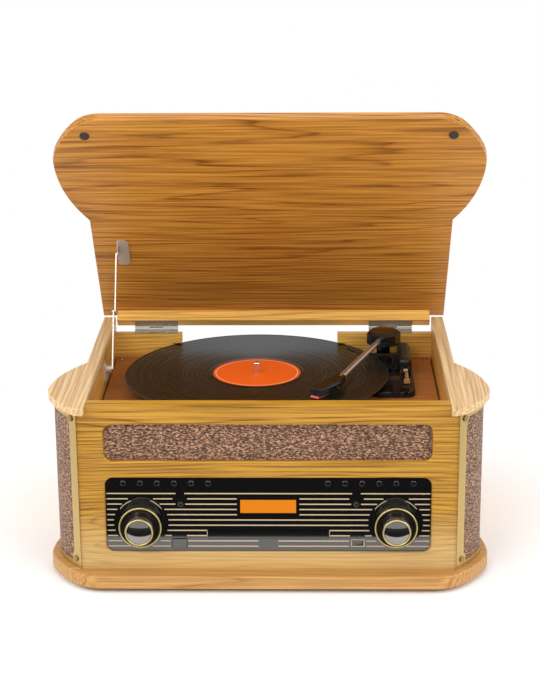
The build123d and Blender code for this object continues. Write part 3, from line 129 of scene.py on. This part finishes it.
def dress(material, *names):
    """Give a material to every material slot of the named CAD nodes."""
    for name in names:
        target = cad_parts[name]
        for index in range(max(1, len(target.data.materials))):
            if len(target.data.materials) == 0:
                target.data.materials.append(material)
            else:
                target.data.materials[index] = material


# %% [markdown]
# The case is board wrapped in oak foil. Oak shows growth rings as long dark
# lines that close into pointed arches where the saw cut near the heart, and
# short dark pores along the grain. Here the rings are the distance from a line
# near the board, stretched along the grain, so they are straight far from the
# heart and arched close to it. Noise bends them and streaks the fibres.

# %% Oak foil


def oak_foil(name, light, middle, dark, along="X", tilt=0.0, heart=(0, 0, 0), arch=0.08, spacing=0.0052):
    """Oak pattern: ring number is the length of the bent, squeezed offset from heart over spacing.

    along is the grain's direction, and tilt turns a sloping board flat."""
    material, tree, shader = new_material(name, Roughness=0.4, IOR=1.46)
    place = add_node(tree, "ShaderNodeTexCoord")
    flat = add_node(tree, "ShaderNodeMapping", {"vector_type": "POINT"}, Vector=place.outputs["Object"])
    flat.inputs["Rotation"].default_value = (tilt, 0, 0)
    moved = add_node(tree, "ShaderNodeVectorMath", {"operation": "SUBTRACT"}, n0=flat.outputs[0], n1=heart)
    squeeze = {"X": (arch, 1, 1), "Y": (1, arch, 1), "Z": (1, 1, arch)}[along]
    stretched = add_node(
        tree, "ShaderNodeVectorMath", {"operation": "MULTIPLY"}, n0=moved.outputs[0], n1=squeeze
    )
    bent = stretched.outputs[0]
    for scale, reach in ((14.0, 0.055), (60.0, 0.008)):
        bend = add_node(tree, "ShaderNodeTexNoise", Vector=stretched.outputs[0], Scale=scale, Detail=3.0)
        centred = add_node(
            tree, "ShaderNodeVectorMath", {"operation": "SUBTRACT"},
            n0=bend.outputs["Color"], n1=(0.5, 0.5, 0.5),
        )
        amount = add_node(
            tree, "ShaderNodeVectorMath", {"operation": "SCALE"}, n0=centred.outputs[0], Scale=reach
        )
        sum_of_both = add_node(
            tree, "ShaderNodeVectorMath", {"operation": "ADD"}, n0=bent, n1=amount.outputs[0]
        )
        bent = sum_of_both.outputs[0]
    radius = add_node(tree, "ShaderNodeVectorMath", {"operation": "LENGTH"}, n0=bent)
    turns = add_node(tree, "ShaderNodeMath", {"operation": "DIVIDE"}, n0=radius.outputs["Value"], n1=spacing)
    ring = add_node(tree, "ShaderNodeMath", {"operation": "FRACT"}, n0=turns.outputs[0])
    ring_tone = add_node(tree, "ShaderNodeValToRGB", Fac=ring.outputs[0])
    ramp = ring_tone.color_ramp
    ramp.elements[0].position = 0.0
    ramp.elements[0].color = colour(middle)
    ramp.elements[1].position = 0.3
    ramp.elements[1].color = colour(light)
    ramp.elements.new(0.66).color = colour(middle)
    ramp.elements.new(0.85).color = colour(dark)
    ramp.elements.new(0.94).color = colour(middle)
    fibre_scale = {"X": (9, 520, 520), "Y": (520, 9, 520), "Z": (520, 520, 9)}[along]
    fibre_place = add_node(
        tree, "ShaderNodeVectorMath", {"operation": "MULTIPLY"}, n0=moved.outputs[0], n1=fibre_scale
    )
    fibre = add_node(tree, "ShaderNodeTexNoise", Vector=fibre_place.outputs[0], Scale=1.0, Detail=3.0)
    fibre_tone = add_node(tree, "ShaderNodeMapRange", Value=fibre.outputs["Fac"])
    for key, value in (("From Min", 0.4), ("From Max", 0.6)):
        fibre_tone.inputs[key].default_value = value
    streak = add_node(tree, "ShaderNodeMix", {"data_type": "RGBA"}, Factor=fibre_tone.outputs[0])
    streak.inputs["A"].default_value = colour(dark)
    streak.inputs["B"].default_value = colour(light)
    mixed = add_node(tree, "ShaderNodeMix", {"data_type": "RGBA"}, Factor=0.46)
    tree.links.new(ring_tone.outputs["Color"], mixed.inputs["A"])
    tree.links.new(streak.outputs["Result"], mixed.inputs["B"])
    tree.links.new(mixed.outputs["Result"], shader.inputs["Base Color"])
    return material


def paint_light_at_foot(material, top, bottom, tone, most):
    """Painted light: the foil is painted paler towards its foot, as if lit there; the share of the pale tone
    grows from 0 at top to most at bottom.
    """
    tree = material.node_tree
    shader = tree.nodes["Principled BSDF"]
    grain = shader.inputs["Base Color"].links[0].from_socket
    place = add_node(tree, "ShaderNodeTexCoord")
    split = add_node(tree, "ShaderNodeSeparateXYZ", Vector=place.outputs["Object"])
    share = add_node(tree, "ShaderNodeMapRange", Value=split.outputs["Z"])
    for key, value in (("From Min", bottom), ("From Max", top), ("To Min", most), ("To Max", 0.0)):
        share.inputs[key].default_value = value
    mix = add_node(tree, "ShaderNodeMix", {"data_type": "RGBA"}, Factor=share.outputs[0])
    tree.links.new(grain, mix.inputs["A"])
    mix.inputs["B"].default_value = colour(tone)
    tree.links.new(mix.outputs["Result"], shader.inputs["Base Color"])


LID_TURN = math.radians(54.3)
front_oak = oak_foil(
    "oak_foil_front", "#CE9A34", "#BD8826", "#74440C", spacing=0.0042, heart=(0.05, -0.165, 0.055)
)
lid_oak = oak_foil(
    "oak_foil_lid", "#D2923B", "#C2802B", "#7C4410",
    spacing=0.0048, tilt=LID_TURN, heart=(-0.05, -0.36, 0.055),
)
rail_oak = oak_foil(
    "oak_foil_rails", "#E9CB9A", "#DDBA85", "#B3834D", along="Y", heart=(0.02, 0.1, 0.12)
)
plinth_oak = oak_foil("oak_foil_plinth", "#D2A05C", "#C6914D", "#9A6732", heart=(0.1, 0.2, -0.06))
deck_oak = oak_foil("oak_foil_deck", "#C47F40", "#B27036", "#875024", heart=(0.2, 0.4, 0.1))
wall_oak = oak_foil(
    "oak_foil_walls", "#DDA855", "#D19A46", "#AE752E", along="Y", heart=(0.3, 0.1, 0.05)
)
back_oak = oak_foil(
    "oak_foil_back_board", "#F0BC5C", "#E2AC4C", "#A5742C", spacing=0.0042, heart=(0.1, 0.1, 0.06)
)
# The front panel's foot is painted paler: a painted light towards the bottom of the panel.
paint_light_at_foot(front_oak, 0.085, 0.028, "#F6D89C", 0.45)
dress(front_oak, "front_panel")
dress(back_oak, "back_board")
dress(wall_oak, "side_panels")
dress(rail_oak, "top_boards")
dress(lid_oak, "lid_board")
# The lid strip's oak is painted much paler than the lid's own: a painted light on its front face.
strip_oak_painted_light = oak_foil(
    "oak_foil_strip_painted_light", "#FFCE72", "#F4BF62", "#BE8438", tilt=LID_TURN, heart=(0.2, -0.3, 0.055)
)
dress(strip_oak_painted_light, "lid_strip")
dress(plinth_oak, "base_plinth")
dress(deck_oak, "deck_plate")

# %% [markdown]
# The speaker cloth is woven from mauve-brown yarn with cream and dark flecks
# that lean both ways. Three stretched and turned noises give the flecks, about
# 2 mm long, which is as fine as the picture can show.

# %% Speaker cloth
# Each fleck has a seed, a colour, the noise level it starts at and its lean.
FLECKS = ((3.1, "#C49C7E", 0.57, 0.6), (8.7, "#3E2517", 0.56, 0.6), (5.2, "#A87C5C", 0.57, -0.9))


def woven_cloth(name):
    """Yarn colour with light and dark slanted flecks, each a noise above a level."""
    material, tree, shader = new_material(name, Roughness=0.9, Sheen_Weight=0.15)
    place = add_node(tree, "ShaderNodeTexCoord")
    base = colour("#644634")
    flecks = None
    for seed, tint, level, lean in FLECKS:
        turned = add_node(tree, "ShaderNodeMapping", {"vector_type": "POINT"}, Vector=place.outputs["Object"])
        turned.inputs["Rotation"].default_value = (lean, lean, 0)
        turned.inputs["Location"].default_value = (seed, seed, seed)
        turned.inputs["Scale"].default_value = (300, 300, 700)
        grain = add_node(tree, "ShaderNodeTexNoise", Vector=turned.outputs[0], Scale=1.0, Detail=1.0)
        mask = add_node(tree, "ShaderNodeMapRange", Value=grain.outputs["Fac"])
        mask.inputs["From Min"].default_value = level
        mask.inputs["From Max"].default_value = level + 0.04
        mix = add_node(tree, "ShaderNodeMix", {"data_type": "RGBA"}, Factor=mask.outputs[0])
        if flecks is None:
            mix.inputs["A"].default_value = base
        else:
            tree.links.new(flecks, mix.inputs["A"])
        mix.inputs["B"].default_value = colour(tint)
        flecks = mix.outputs["Result"]
    tree.links.new(flecks, shader.inputs["Base Color"])
    return material


dress(woven_cloth("woven_speaker_cloth"), "cloth_grilles")

# %% [markdown]
# Plain finishes come next. Gloss black parts are moulded ABS, the trims are
# lacquered brass, and the hinges and stay are nickel plated steel.

# %% Plain finishes
# Black ABS gives a sharp reflection where it is polished and a soft one where it is moulded.
# The acrylic front and the lacquered knobs have a raised IOR, so they mirror the table more.
# Rubber and the paper cone stay dull. Brass, gold and nickel differ in tint and roughness.
gloss_black = plain("gloss_abs_black", Base_Color=colour("#0B0A0A"), Roughness=0.12, IOR=1.53)
fascia_black = plain("fascia_acrylic_black", Base_Color=colour("#070606"), Roughness=0.06, IOR=2.1)
satin_black = plain("satin_abs_black", Base_Color=colour("#141313"), Roughness=0.38, IOR=1.5)
rubber = plain("moulded_rubber", Base_Color=colour("#1B1A19"), Roughness=0.75)
bumper = plain("bumper_rubber", Base_Color=colour("#3A332C"), Roughness=0.6)
brass = plain("lacquered_brass", Base_Color=colour("#CDB074"), Metallic=1.0, Roughness=0.32)
gold = plain("gold_plated_ring", Base_Color=colour("#E8D48A"), Metallic=0.7, Roughness=0.3)
knob_glaze = plain("knob_cap_smoked_glaze", Base_Color=colour("#9A9592"), Metallic=1.0, Roughness=0.09)
nickel = plain("nickel_plated_steel", Base_Color=colour("#C9C3B8"), Metallic=1.0, Roughness=0.24)
dark_screw = plain("brass_plated_screw", Base_Color=colour("#A88C5A"), Metallic=1.0, Roughness=0.35)
satin_nickel = plain("satin_nickel_plate", Base_Color=colour("#DAD4C8"), Metallic=0.6, Roughness=0.3)
steel = plain("polished_steel", Base_Color=colour("#D8D7D4"), Metallic=1.0, Roughness=0.16)
aluminium = plain("satin_aluminium", Base_Color=colour("#D9D6D0"), Metallic=1.0, Roughness=0.34)
red_abs = plain("red_abs", Base_Color=colour("#E0421C"), Roughness=0.3, IOR=1.5)
button_black = plain("button_abs_polished", Base_Color=colour("#100F0F"), Roughness=0.14, IOR=2.2)
knob_black = plain("knob_lacquer_brown_black", Base_Color=colour("#1E1712"), Roughness=0.1, IOR=2.0)
paper_cone = plain("black_paper_cone", Base_Color=colour("#1C1B1A"), Roughness=0.8)
board_green = plain("circuit_board_lacquer", Base_Color=colour("#245A33"), Roughness=0.45)
ink = plain("printed_ink_beige", Base_Color=colour("#C4B08E"), Roughness=0.35)
amber, _, amber_shader = new_material("backlit_display", Base_Color=colour("#5A3000"), Roughness=0.3)
amber_shader.inputs["Emission Color"].default_value = colour("#EE8600")
amber_shader.inputs["Emission Strength"].default_value = 0.85

dress(fascia_black, "control_fascia", "button_bezel", "cd_tray", "power_key")
dress(button_black, *[f"push_button_{index:02d}" for index in range(1, 13)])
dress(gloss_black, "tonearm_head", "headshell", "tonearm_turret", "speed_selector")
dress(satin_black, "tonearm_base", "platter", "cd_mechanism", "rear_socket_panel", "lift_platform")
dress(rubber, "rubber_feet", "slip_mat", "drive_belt")
dress(bumper, "lid_bumpers")
dress(brass, "speaker_trims", "motor_pulley")
dress(nickel, "hinge_body_leaves", "hinge_lid_leaves", "stay_upper_arm", "stay_lower_arm")
dress(nickel, "drive_motor", "front_sockets")
dress(satin_nickel, "stay_lid_bracket", "stay_wall_bracket")
dress(dark_screw, "small_screws")
dress(steel, "spindle", "cue_lever")
dress(aluminium, "arm_tube")
dress(red_abs, "stylus")
dress(knob_black, "volume_knob", "tuning_knob")
dress(paper_cone, "speaker_drivers")
dress(board_green, "circuit_boards")
dress(amber, "display_window")

# %% [markdown]
# A record is pressed from black vinyl. Its grooves are far finer than the
# picture, but they stretch a highlight across the disc, so the shader is
# anisotropic round the axis, and a noise that reads only the radius makes the
# bands of quiet and loud music.

# %% Vinyl and label
RECORD_CENTRE = (-0.01665, 0.2028 - MIDDLE_Y, 0.0)


def radius_output(tree):
    """Distance from the turntable's axis."""
    place = add_node(tree, "ShaderNodeTexCoord")
    moved = add_node(
        tree, "ShaderNodeVectorMath", {"operation": "SUBTRACT"}, n0=place.outputs["Object"], n1=RECORD_CENTRE
    )
    flat = add_node(
        tree, "ShaderNodeVectorMath", {"operation": "MULTIPLY"}, n0=moved.outputs[0], n1=(1, 1, 0)
    )
    reach = add_node(tree, "ShaderNodeVectorMath", {"operation": "LENGTH"}, n0=flat.outputs[0])
    return reach.outputs["Value"]


def pressed_vinyl(name):
    """Black vinyl whose roughness follows a noise of the radius."""
    material, tree, shader = new_material(name, Base_Color=colour("#0C0B0A"), IOR=1.55)
    shader.inputs["Anisotropic"].default_value = 0.75
    radius = radius_output(tree)
    bands = add_node(
        tree, "ShaderNodeTexNoise", {"noise_dimensions": "1D"}, W=radius, Scale=420.0, Detail=4.0
    )
    rough = add_node(tree, "ShaderNodeMapRange", Value=bands.outputs["Fac"])
    for key, value in (("From Min", 0.3), ("From Max", 0.7), ("To Min", 0.2), ("To Max", 0.42)):
        rough.inputs[key].default_value = value
    tree.links.new(rough.outputs[0], shader.inputs["Roughness"])
    tangent = add_node(tree, "ShaderNodeTangent", {"direction_type": "RADIAL", "axis": "Z"})
    tree.links.new(tangent.outputs[0], shader.inputs["Tangent"])
    return material


def printed_label(name):
    """Orange paper with a thin pale ring near its edge."""
    material, tree, shader = new_material(name, Roughness=0.6)
    shader.inputs["Specular IOR Level"].default_value = 0.25
    ring = add_node(tree, "ShaderNodeValToRGB", Fac=add_node(
        tree, "ShaderNodeMath", {"operation": "DIVIDE"}, n0=radius_output(tree), n1=0.05
    ).outputs[0])
    ring.color_ramp.interpolation = "CONSTANT"
    ring.color_ramp.elements[0].color = colour("#F2640E")
    ring.color_ramp.elements[1].position = 0.925
    ring.color_ramp.elements[1].color = colour("#F4BE9A")
    ring.color_ramp.elements.new(0.945).color = colour("#EE600E")
    tree.links.new(ring.outputs["Color"], shader.inputs["Base Color"])
    return material


dress(pressed_vinyl("pressed_vinyl"), "record_disc")
dress(printed_label("orange_label_paper"), "record_label")

# %% [markdown]
# The front is printed with eleven pale lines that stop short of the knobs, the
# sockets, the display and the drawer. Each line is a row of thin rectangles
# just in front of the gloss panel, so it is real geometry.

# %% Printed lines
FASCIA_Y = 0.0035 - MIDDLE_Y
INK_LIFT = 0.00008
INK_Y = FASCIA_Y - INK_LIFT
FLOOR_TO_PLINTH = 0.005
LINE_PITCH = 0.00598
LINE_TOP = 0.0981 + FLOOR_TO_PLINTH
LINE_HEIGHT = 0.00135
LINE_END = 0.1702
KNOB_X = 0.1343
KNOB_Z = 0.065 + FLOOR_TO_PLINTH
KNOB_CLEAR = 0.029


def new_piece(name, vertices, faces, material, body):
    """Mesh object from arrays of points and faces, riding on a body."""
    mesh = bpy.data.meshes.new(name)
    mesh.from_pydata([tuple(v) for v in vertices], [], [tuple(f) for f in faces])
    mesh.materials.append(material)
    mesh.update()
    piece = bpy.data.objects.new(name, mesh)
    bpy.context.collection.objects.link(piece)
    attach(piece, body)
    return piece


def line_gaps(index, z):
    """Stretches of x that a line leaves free, for the right half."""
    gaps = []
    reach = KNOB_CLEAR**2 - (z - KNOB_Z) ** 2
    if reach > 0:
        half = math.sqrt(reach)
        gaps.append((KNOB_X - half, KNOB_X + half))
    if index == 0:
        gaps.append((0.0881, 0.0974))
    if index == 1:
        gaps += [(0.121, 0.1477), (0.0852, 0.1006)]
    if index == 2:
        gaps.append((0.0873, 0.0977))
    if 1 <= index <= 4:
        gaps.append((-0.001, 0.033))
    if index in (7, 8):
        gaps.append((-0.001, 0.0644))
    if index == 8:
        gaps.append((0.0862, 0.1022))
    if index >= 9:
        gaps += [(-0.001, 0.0105), (0.0852, 0.1036)]
    return gaps


def line_parts(index, z):
    """What is left of the right half of a line once its gaps are taken out."""
    parts = [(0.0, LINE_END)]
    for start, end in line_gaps(index, z):
        left = []
        for a, b in parts:
            if start > a:
                left.append((a, min(b, start)))
            if end < b:
                left.append((max(a, end), b))
        parts = [(a, b) for a, b in left if b - a > 0.001]
    return parts


def printed_lines():
    """Rectangles of all the lines, both halves, and the short bars that close the drawer's lines."""
    boxes = []
    for index in range(11):
        z = LINE_TOP - index * LINE_PITCH
        for a, b in line_parts(index, z):
            foot, head = z - LINE_HEIGHT / 2, z + LINE_HEIGHT / 2
            boxes += [(a, b, foot, head), (-b, -a, foot, head)]
    low_z = LINE_TOP - 8 * LINE_PITCH
    for x in (0.0644, -0.0650):
        boxes.append((x, x + 0.0006, low_z, low_z + LINE_PITCH))
    boxes = np.array(boxes)
    corners = np.stack([boxes[:, [0, 2]], boxes[:, [1, 2]], boxes[:, [1, 3]], boxes[:, [0, 3]]], axis=1)
    points = np.insert(corners.reshape(-1, 2), 1, INK_Y, axis=1)
    faces = np.arange(len(points)).reshape(-1, 4)
    return points, faces


points, faces = printed_lines()
new_piece("printed_lines", points, faces, ink, "cabinet")
print("line rectangles:", len(faces))

# %% [markdown]
# Beside each knob two short arcs are printed, left and right of the place for
# a word. The word is left off and its place stays bare.

# %% Marking arcs


def flat_arc(centre_x, centre_z, radius, width, start, end, y, steps=24):
    """Grid of a ring sector: angle runs along one way, radius the other, at a fixed depth y."""
    angle = np.radians(np.linspace(start, end, steps))
    rings = np.array([radius - width / 2, radius + width / 2])
    x = centre_x + rings[:, None] * np.cos(angle)[None, :]
    z = centre_z + rings[:, None] * np.sin(angle)[None, :]
    points = np.stack([x, np.full_like(x, y), z], axis=-1).reshape(-1, 3)
    first = np.arange(steps - 1)
    faces = np.stack([first, first + steps, first + steps + 1, first + 1], axis=1)
    return points, faces


arc_points = []
arc_faces = []
for x in (-KNOB_X, KNOB_X):
    for start, end in ((112.4, 144.1), (35.9, 67.6)):
        points, faces = flat_arc(x, KNOB_Z, 0.0269, 0.0009, start, end, INK_Y)
        arc_faces.append(faces + sum(len(p) for p in arc_points))
        arc_points.append(points)
new_piece("marking_arcs", np.concatenate(arc_points), np.concatenate(arc_faces), ink, "cabinet")

# %% [markdown]
# Each knob carries two thin gold rings, one on the wide drum and one on the
# nose. A ring is a torus: a small circle carried round a large one.

# %% Gold rings


def torus(centre, radius, thickness, around=96, across=12):
    """Ring in the XZ plane: points radius + t cos(v) from the centre, t sin(v) along Y."""
    u = np.linspace(0, 2 * np.pi, around, endpoint=False)[:, None]
    v = np.linspace(0, 2 * np.pi, across, endpoint=False)[None, :]
    reach = radius + thickness * np.cos(v)
    x = centre[0] + reach * np.cos(u)
    y = centre[1] + thickness * np.sin(v) + 0 * u
    z = centre[2] + reach * np.sin(u)
    points = np.stack([x, y, z], axis=-1).reshape(-1, 3)
    i = np.arange(around)[:, None] * across
    j = np.arange(across)[None, :]
    next_i = (np.arange(around)[:, None] + 1) % around * across
    next_j = (j + 1) % across
    faces = np.stack([i + j, next_i + j, next_i + next_j, i + next_j], axis=-1).reshape(-1, 4)
    return points, faces


for name, x in (("volume", -KNOB_X), ("tuning", KNOB_X)):
    ring_points = []
    ring_faces = []
    for radius, depth, thickness in ((0.0217, 0.0143, 0.0008), (0.0139, 0.0273, 0.0008)):
        points, faces = torus((x, FASCIA_Y - depth, KNOB_Z), radius, thickness)
        ring_faces.append(faces + sum(len(p) for p in ring_points))
        ring_points.append(points)
    ring = new_piece(
        f"{name}_gold_rings", np.concatenate(ring_points), np.concatenate(ring_faces),
        gold, name,
    )
    ring.data.polygons.foreach_set("use_smooth", np.ones(len(ring.data.polygons), dtype=bool))

# %% [markdown]
# The nose of each knob ends in a glossy domed cap. It mirrors the bright room
# in its upper half and the dark table edge in its lower half, so it is a thin
# spherical skin over the solid, with a smoked mirror finish.

# %% Knob caps
NOSE_REACH = 0.0275
CAP_RADIUS = 0.0127
CAP_CROWN = 0.0026
CAP_LIFT = 0.0002


def domed_cap(centre, radius, crown, lift, around=64, rings=12):
    """Spherical cap: at radius r its height is crown minus R less the root of R squared less r squared."""
    ball = (radius**2 + crown**2) / (2 * crown)
    u = np.linspace(0, 2 * np.pi, around, endpoint=False)[None, :]
    r = np.linspace(0.02, 1, rings)[:, None] * radius
    height = crown - (ball - np.sqrt(ball**2 - r**2)) + lift
    x = centre[0] + r * np.cos(u)
    y = centre[1] - height + 0 * u
    z = centre[2] + r * np.sin(u)
    points = np.stack([x, y, z], axis=-1).reshape(-1, 3)
    i = np.arange(rings - 1)[:, None] * around
    j = np.arange(around)[None, :]
    after = (j + 1) % around
    sides = np.stack([i + j, i + after, i + around + after, i + around + j], axis=-1).reshape(-1, 4)
    return points, [tuple(f) for f in sides] + [tuple(range(around - 1, -1, -1))]


for name, x in (("volume", -KNOB_X), ("tuning", KNOB_X)):
    points, faces = domed_cap((x, FASCIA_Y - NOSE_REACH, KNOB_Z), CAP_RADIUS, CAP_CROWN, CAP_LIFT)
    cap = new_piece(f"{name}_knob_cap", points, faces, knob_glaze, name)
    cap.data.polygons.foreach_set("use_smooth", np.ones(len(cap.data.polygons), dtype=bool))

# %% [markdown]
# The studio is a white floor and a white surround with five large soft lamps.
# The floor and the surround look pure white to the camera, while the floor
# still keeps the shadow under the plinth. A dark card lies on the floor in
# front of the player, out of the picture, and gives the gloss panel its depth.

# %% Studio


def stage_plane(name, x0, x1, y0, y1, z, material):
    """Flat rectangle that belongs to the studio."""
    mesh = bpy.data.meshes.new(name)
    mesh.from_pydata([(x0, y0, z), (x1, y0, z), (x1, y1, z), (x0, y1, z)], [], [(0, 1, 2, 3)])
    mesh.materials.append(material)
    plane = bpy.data.objects.new(name, mesh)
    bpy.context.collection.objects.link(plane)
    return plane


floor_material, floor_tree, floor_shader = new_material(
    "white_floor", Base_Color=colour("#FFFFFF"), Roughness=0.9
)
floor_shader.inputs["Specular IOR Level"].default_value = 0.0
floor_place = add_node(floor_tree, "ShaderNodeTexCoord")
floor_reach = add_node(
    floor_tree, "ShaderNodeVectorMath", {"operation": "LENGTH"}, n0=floor_place.outputs["Object"]
)
fade = add_node(floor_tree, "ShaderNodeMapRange", Value=floor_reach.outputs["Value"])
fade.inputs["From Min"].default_value = 0.3
fade.inputs["From Max"].default_value = 0.62
floor_path = add_node(floor_tree, "ShaderNodeLightPath")
floor_seen = add_node(
    floor_tree, "ShaderNodeMath", {"operation": "MAXIMUM"},
    n0=floor_path.outputs["Is Camera Ray"], n1=floor_path.outputs["Is Glossy Ray"],
)
floor_white = add_node(
    floor_tree, "ShaderNodeMath", {"operation": "MULTIPLY"}, n0=fade.outputs[0], n1=floor_seen.outputs[0]
)
floor_glow = add_node(floor_tree, "ShaderNodeEmission", Color=(1, 1, 1, 1), Strength=1.0)
floor_mix = add_node(
    floor_tree, "ShaderNodeMixShader",
    Fac=floor_white.outputs[0], n1=floor_shader.outputs[0], n2=floor_glow.outputs[0],
)
floor_tree.links.new(floor_mix.outputs[0], floor_tree.nodes["Material Output"].inputs["Surface"])
stage_plane("floor", -6, 6, -6, 6, 0.0, floor_material)
card = plain("dark_card", Base_Color=colour("#050505"), Roughness=1.0)
dark_card = stage_plane("dark_card", -3, 3, -4.0, -MIDDLE_Y - 0.12, 0.0006, card)
dark_card.visible_camera = False
dark_card.visible_diffuse = False
dark_card.visible_shadow = False

world = bpy.data.worlds.new("studio")
bpy.context.scene.world = world
world.use_nodes = True
world_tree = world.node_tree
background = world_tree.nodes["Background"]
background.inputs["Color"].default_value = (1, 1, 1, 1)
path = add_node(world_tree, "ShaderNodeLightPath")
seen = add_node(
    world_tree, "ShaderNodeMath", {"operation": "MAXIMUM"},
    n0=path.outputs["Is Camera Ray"], n1=path.outputs["Is Transmission Ray"],
)
strength = add_node(world_tree, "ShaderNodeMapRange", Value=seen.outputs[0])
strength.inputs["To Min"].default_value = 0.62
strength.inputs["To Max"].default_value = 1.0
world_tree.links.new(strength.outputs[0], background.inputs["Strength"])


def soft_lamp(name, place, target, width, height, power):
    """Rectangular lamp at a place, turned to face a target."""
    data = bpy.data.lights.new(name, "AREA")
    data.shape = "RECTANGLE"
    data.size = width
    data.size_y = height
    data.energy = power
    lamp = bpy.data.objects.new(name, data)
    bpy.context.collection.objects.link(lamp)
    away = np.array(place) - np.array(target)
    away = away / np.linalg.norm(away)
    side = np.cross((0, 0, 1), away)
    side = side / np.linalg.norm(side)
    top = np.cross(away, side)
    lamp.matrix_world = Matrix([
        (side[0], top[0], away[0], place[0]),
        (side[1], top[1], away[1], place[1]),
        (side[2], top[2], away[2], place[2]),
        (0, 0, 0, 1),
    ])


soft_lamp("lamp_front_left", (-1.3, -2.0, 1.9), (0, 0, 0.2), 1.6, 1.2, 26)
soft_lamp("lamp_front_right", (1.6, -1.8, 1.6), (0, 0, 0.2), 1.4, 1.2, 17)
soft_lamp("lamp_left", (-2.2, -0.3, 1.0), (0, 0, 0.15), 1.2, 1.4, 14)
soft_lamp("lamp_right", (2.2, -0.3, 1.0), (0, 0, 0.15), 1.2, 1.4, 14)
soft_lamp("lamp_top", (0.0, 0.1, 2.4), (0, 0.05, 0.2), 1.6, 1.6, 12)
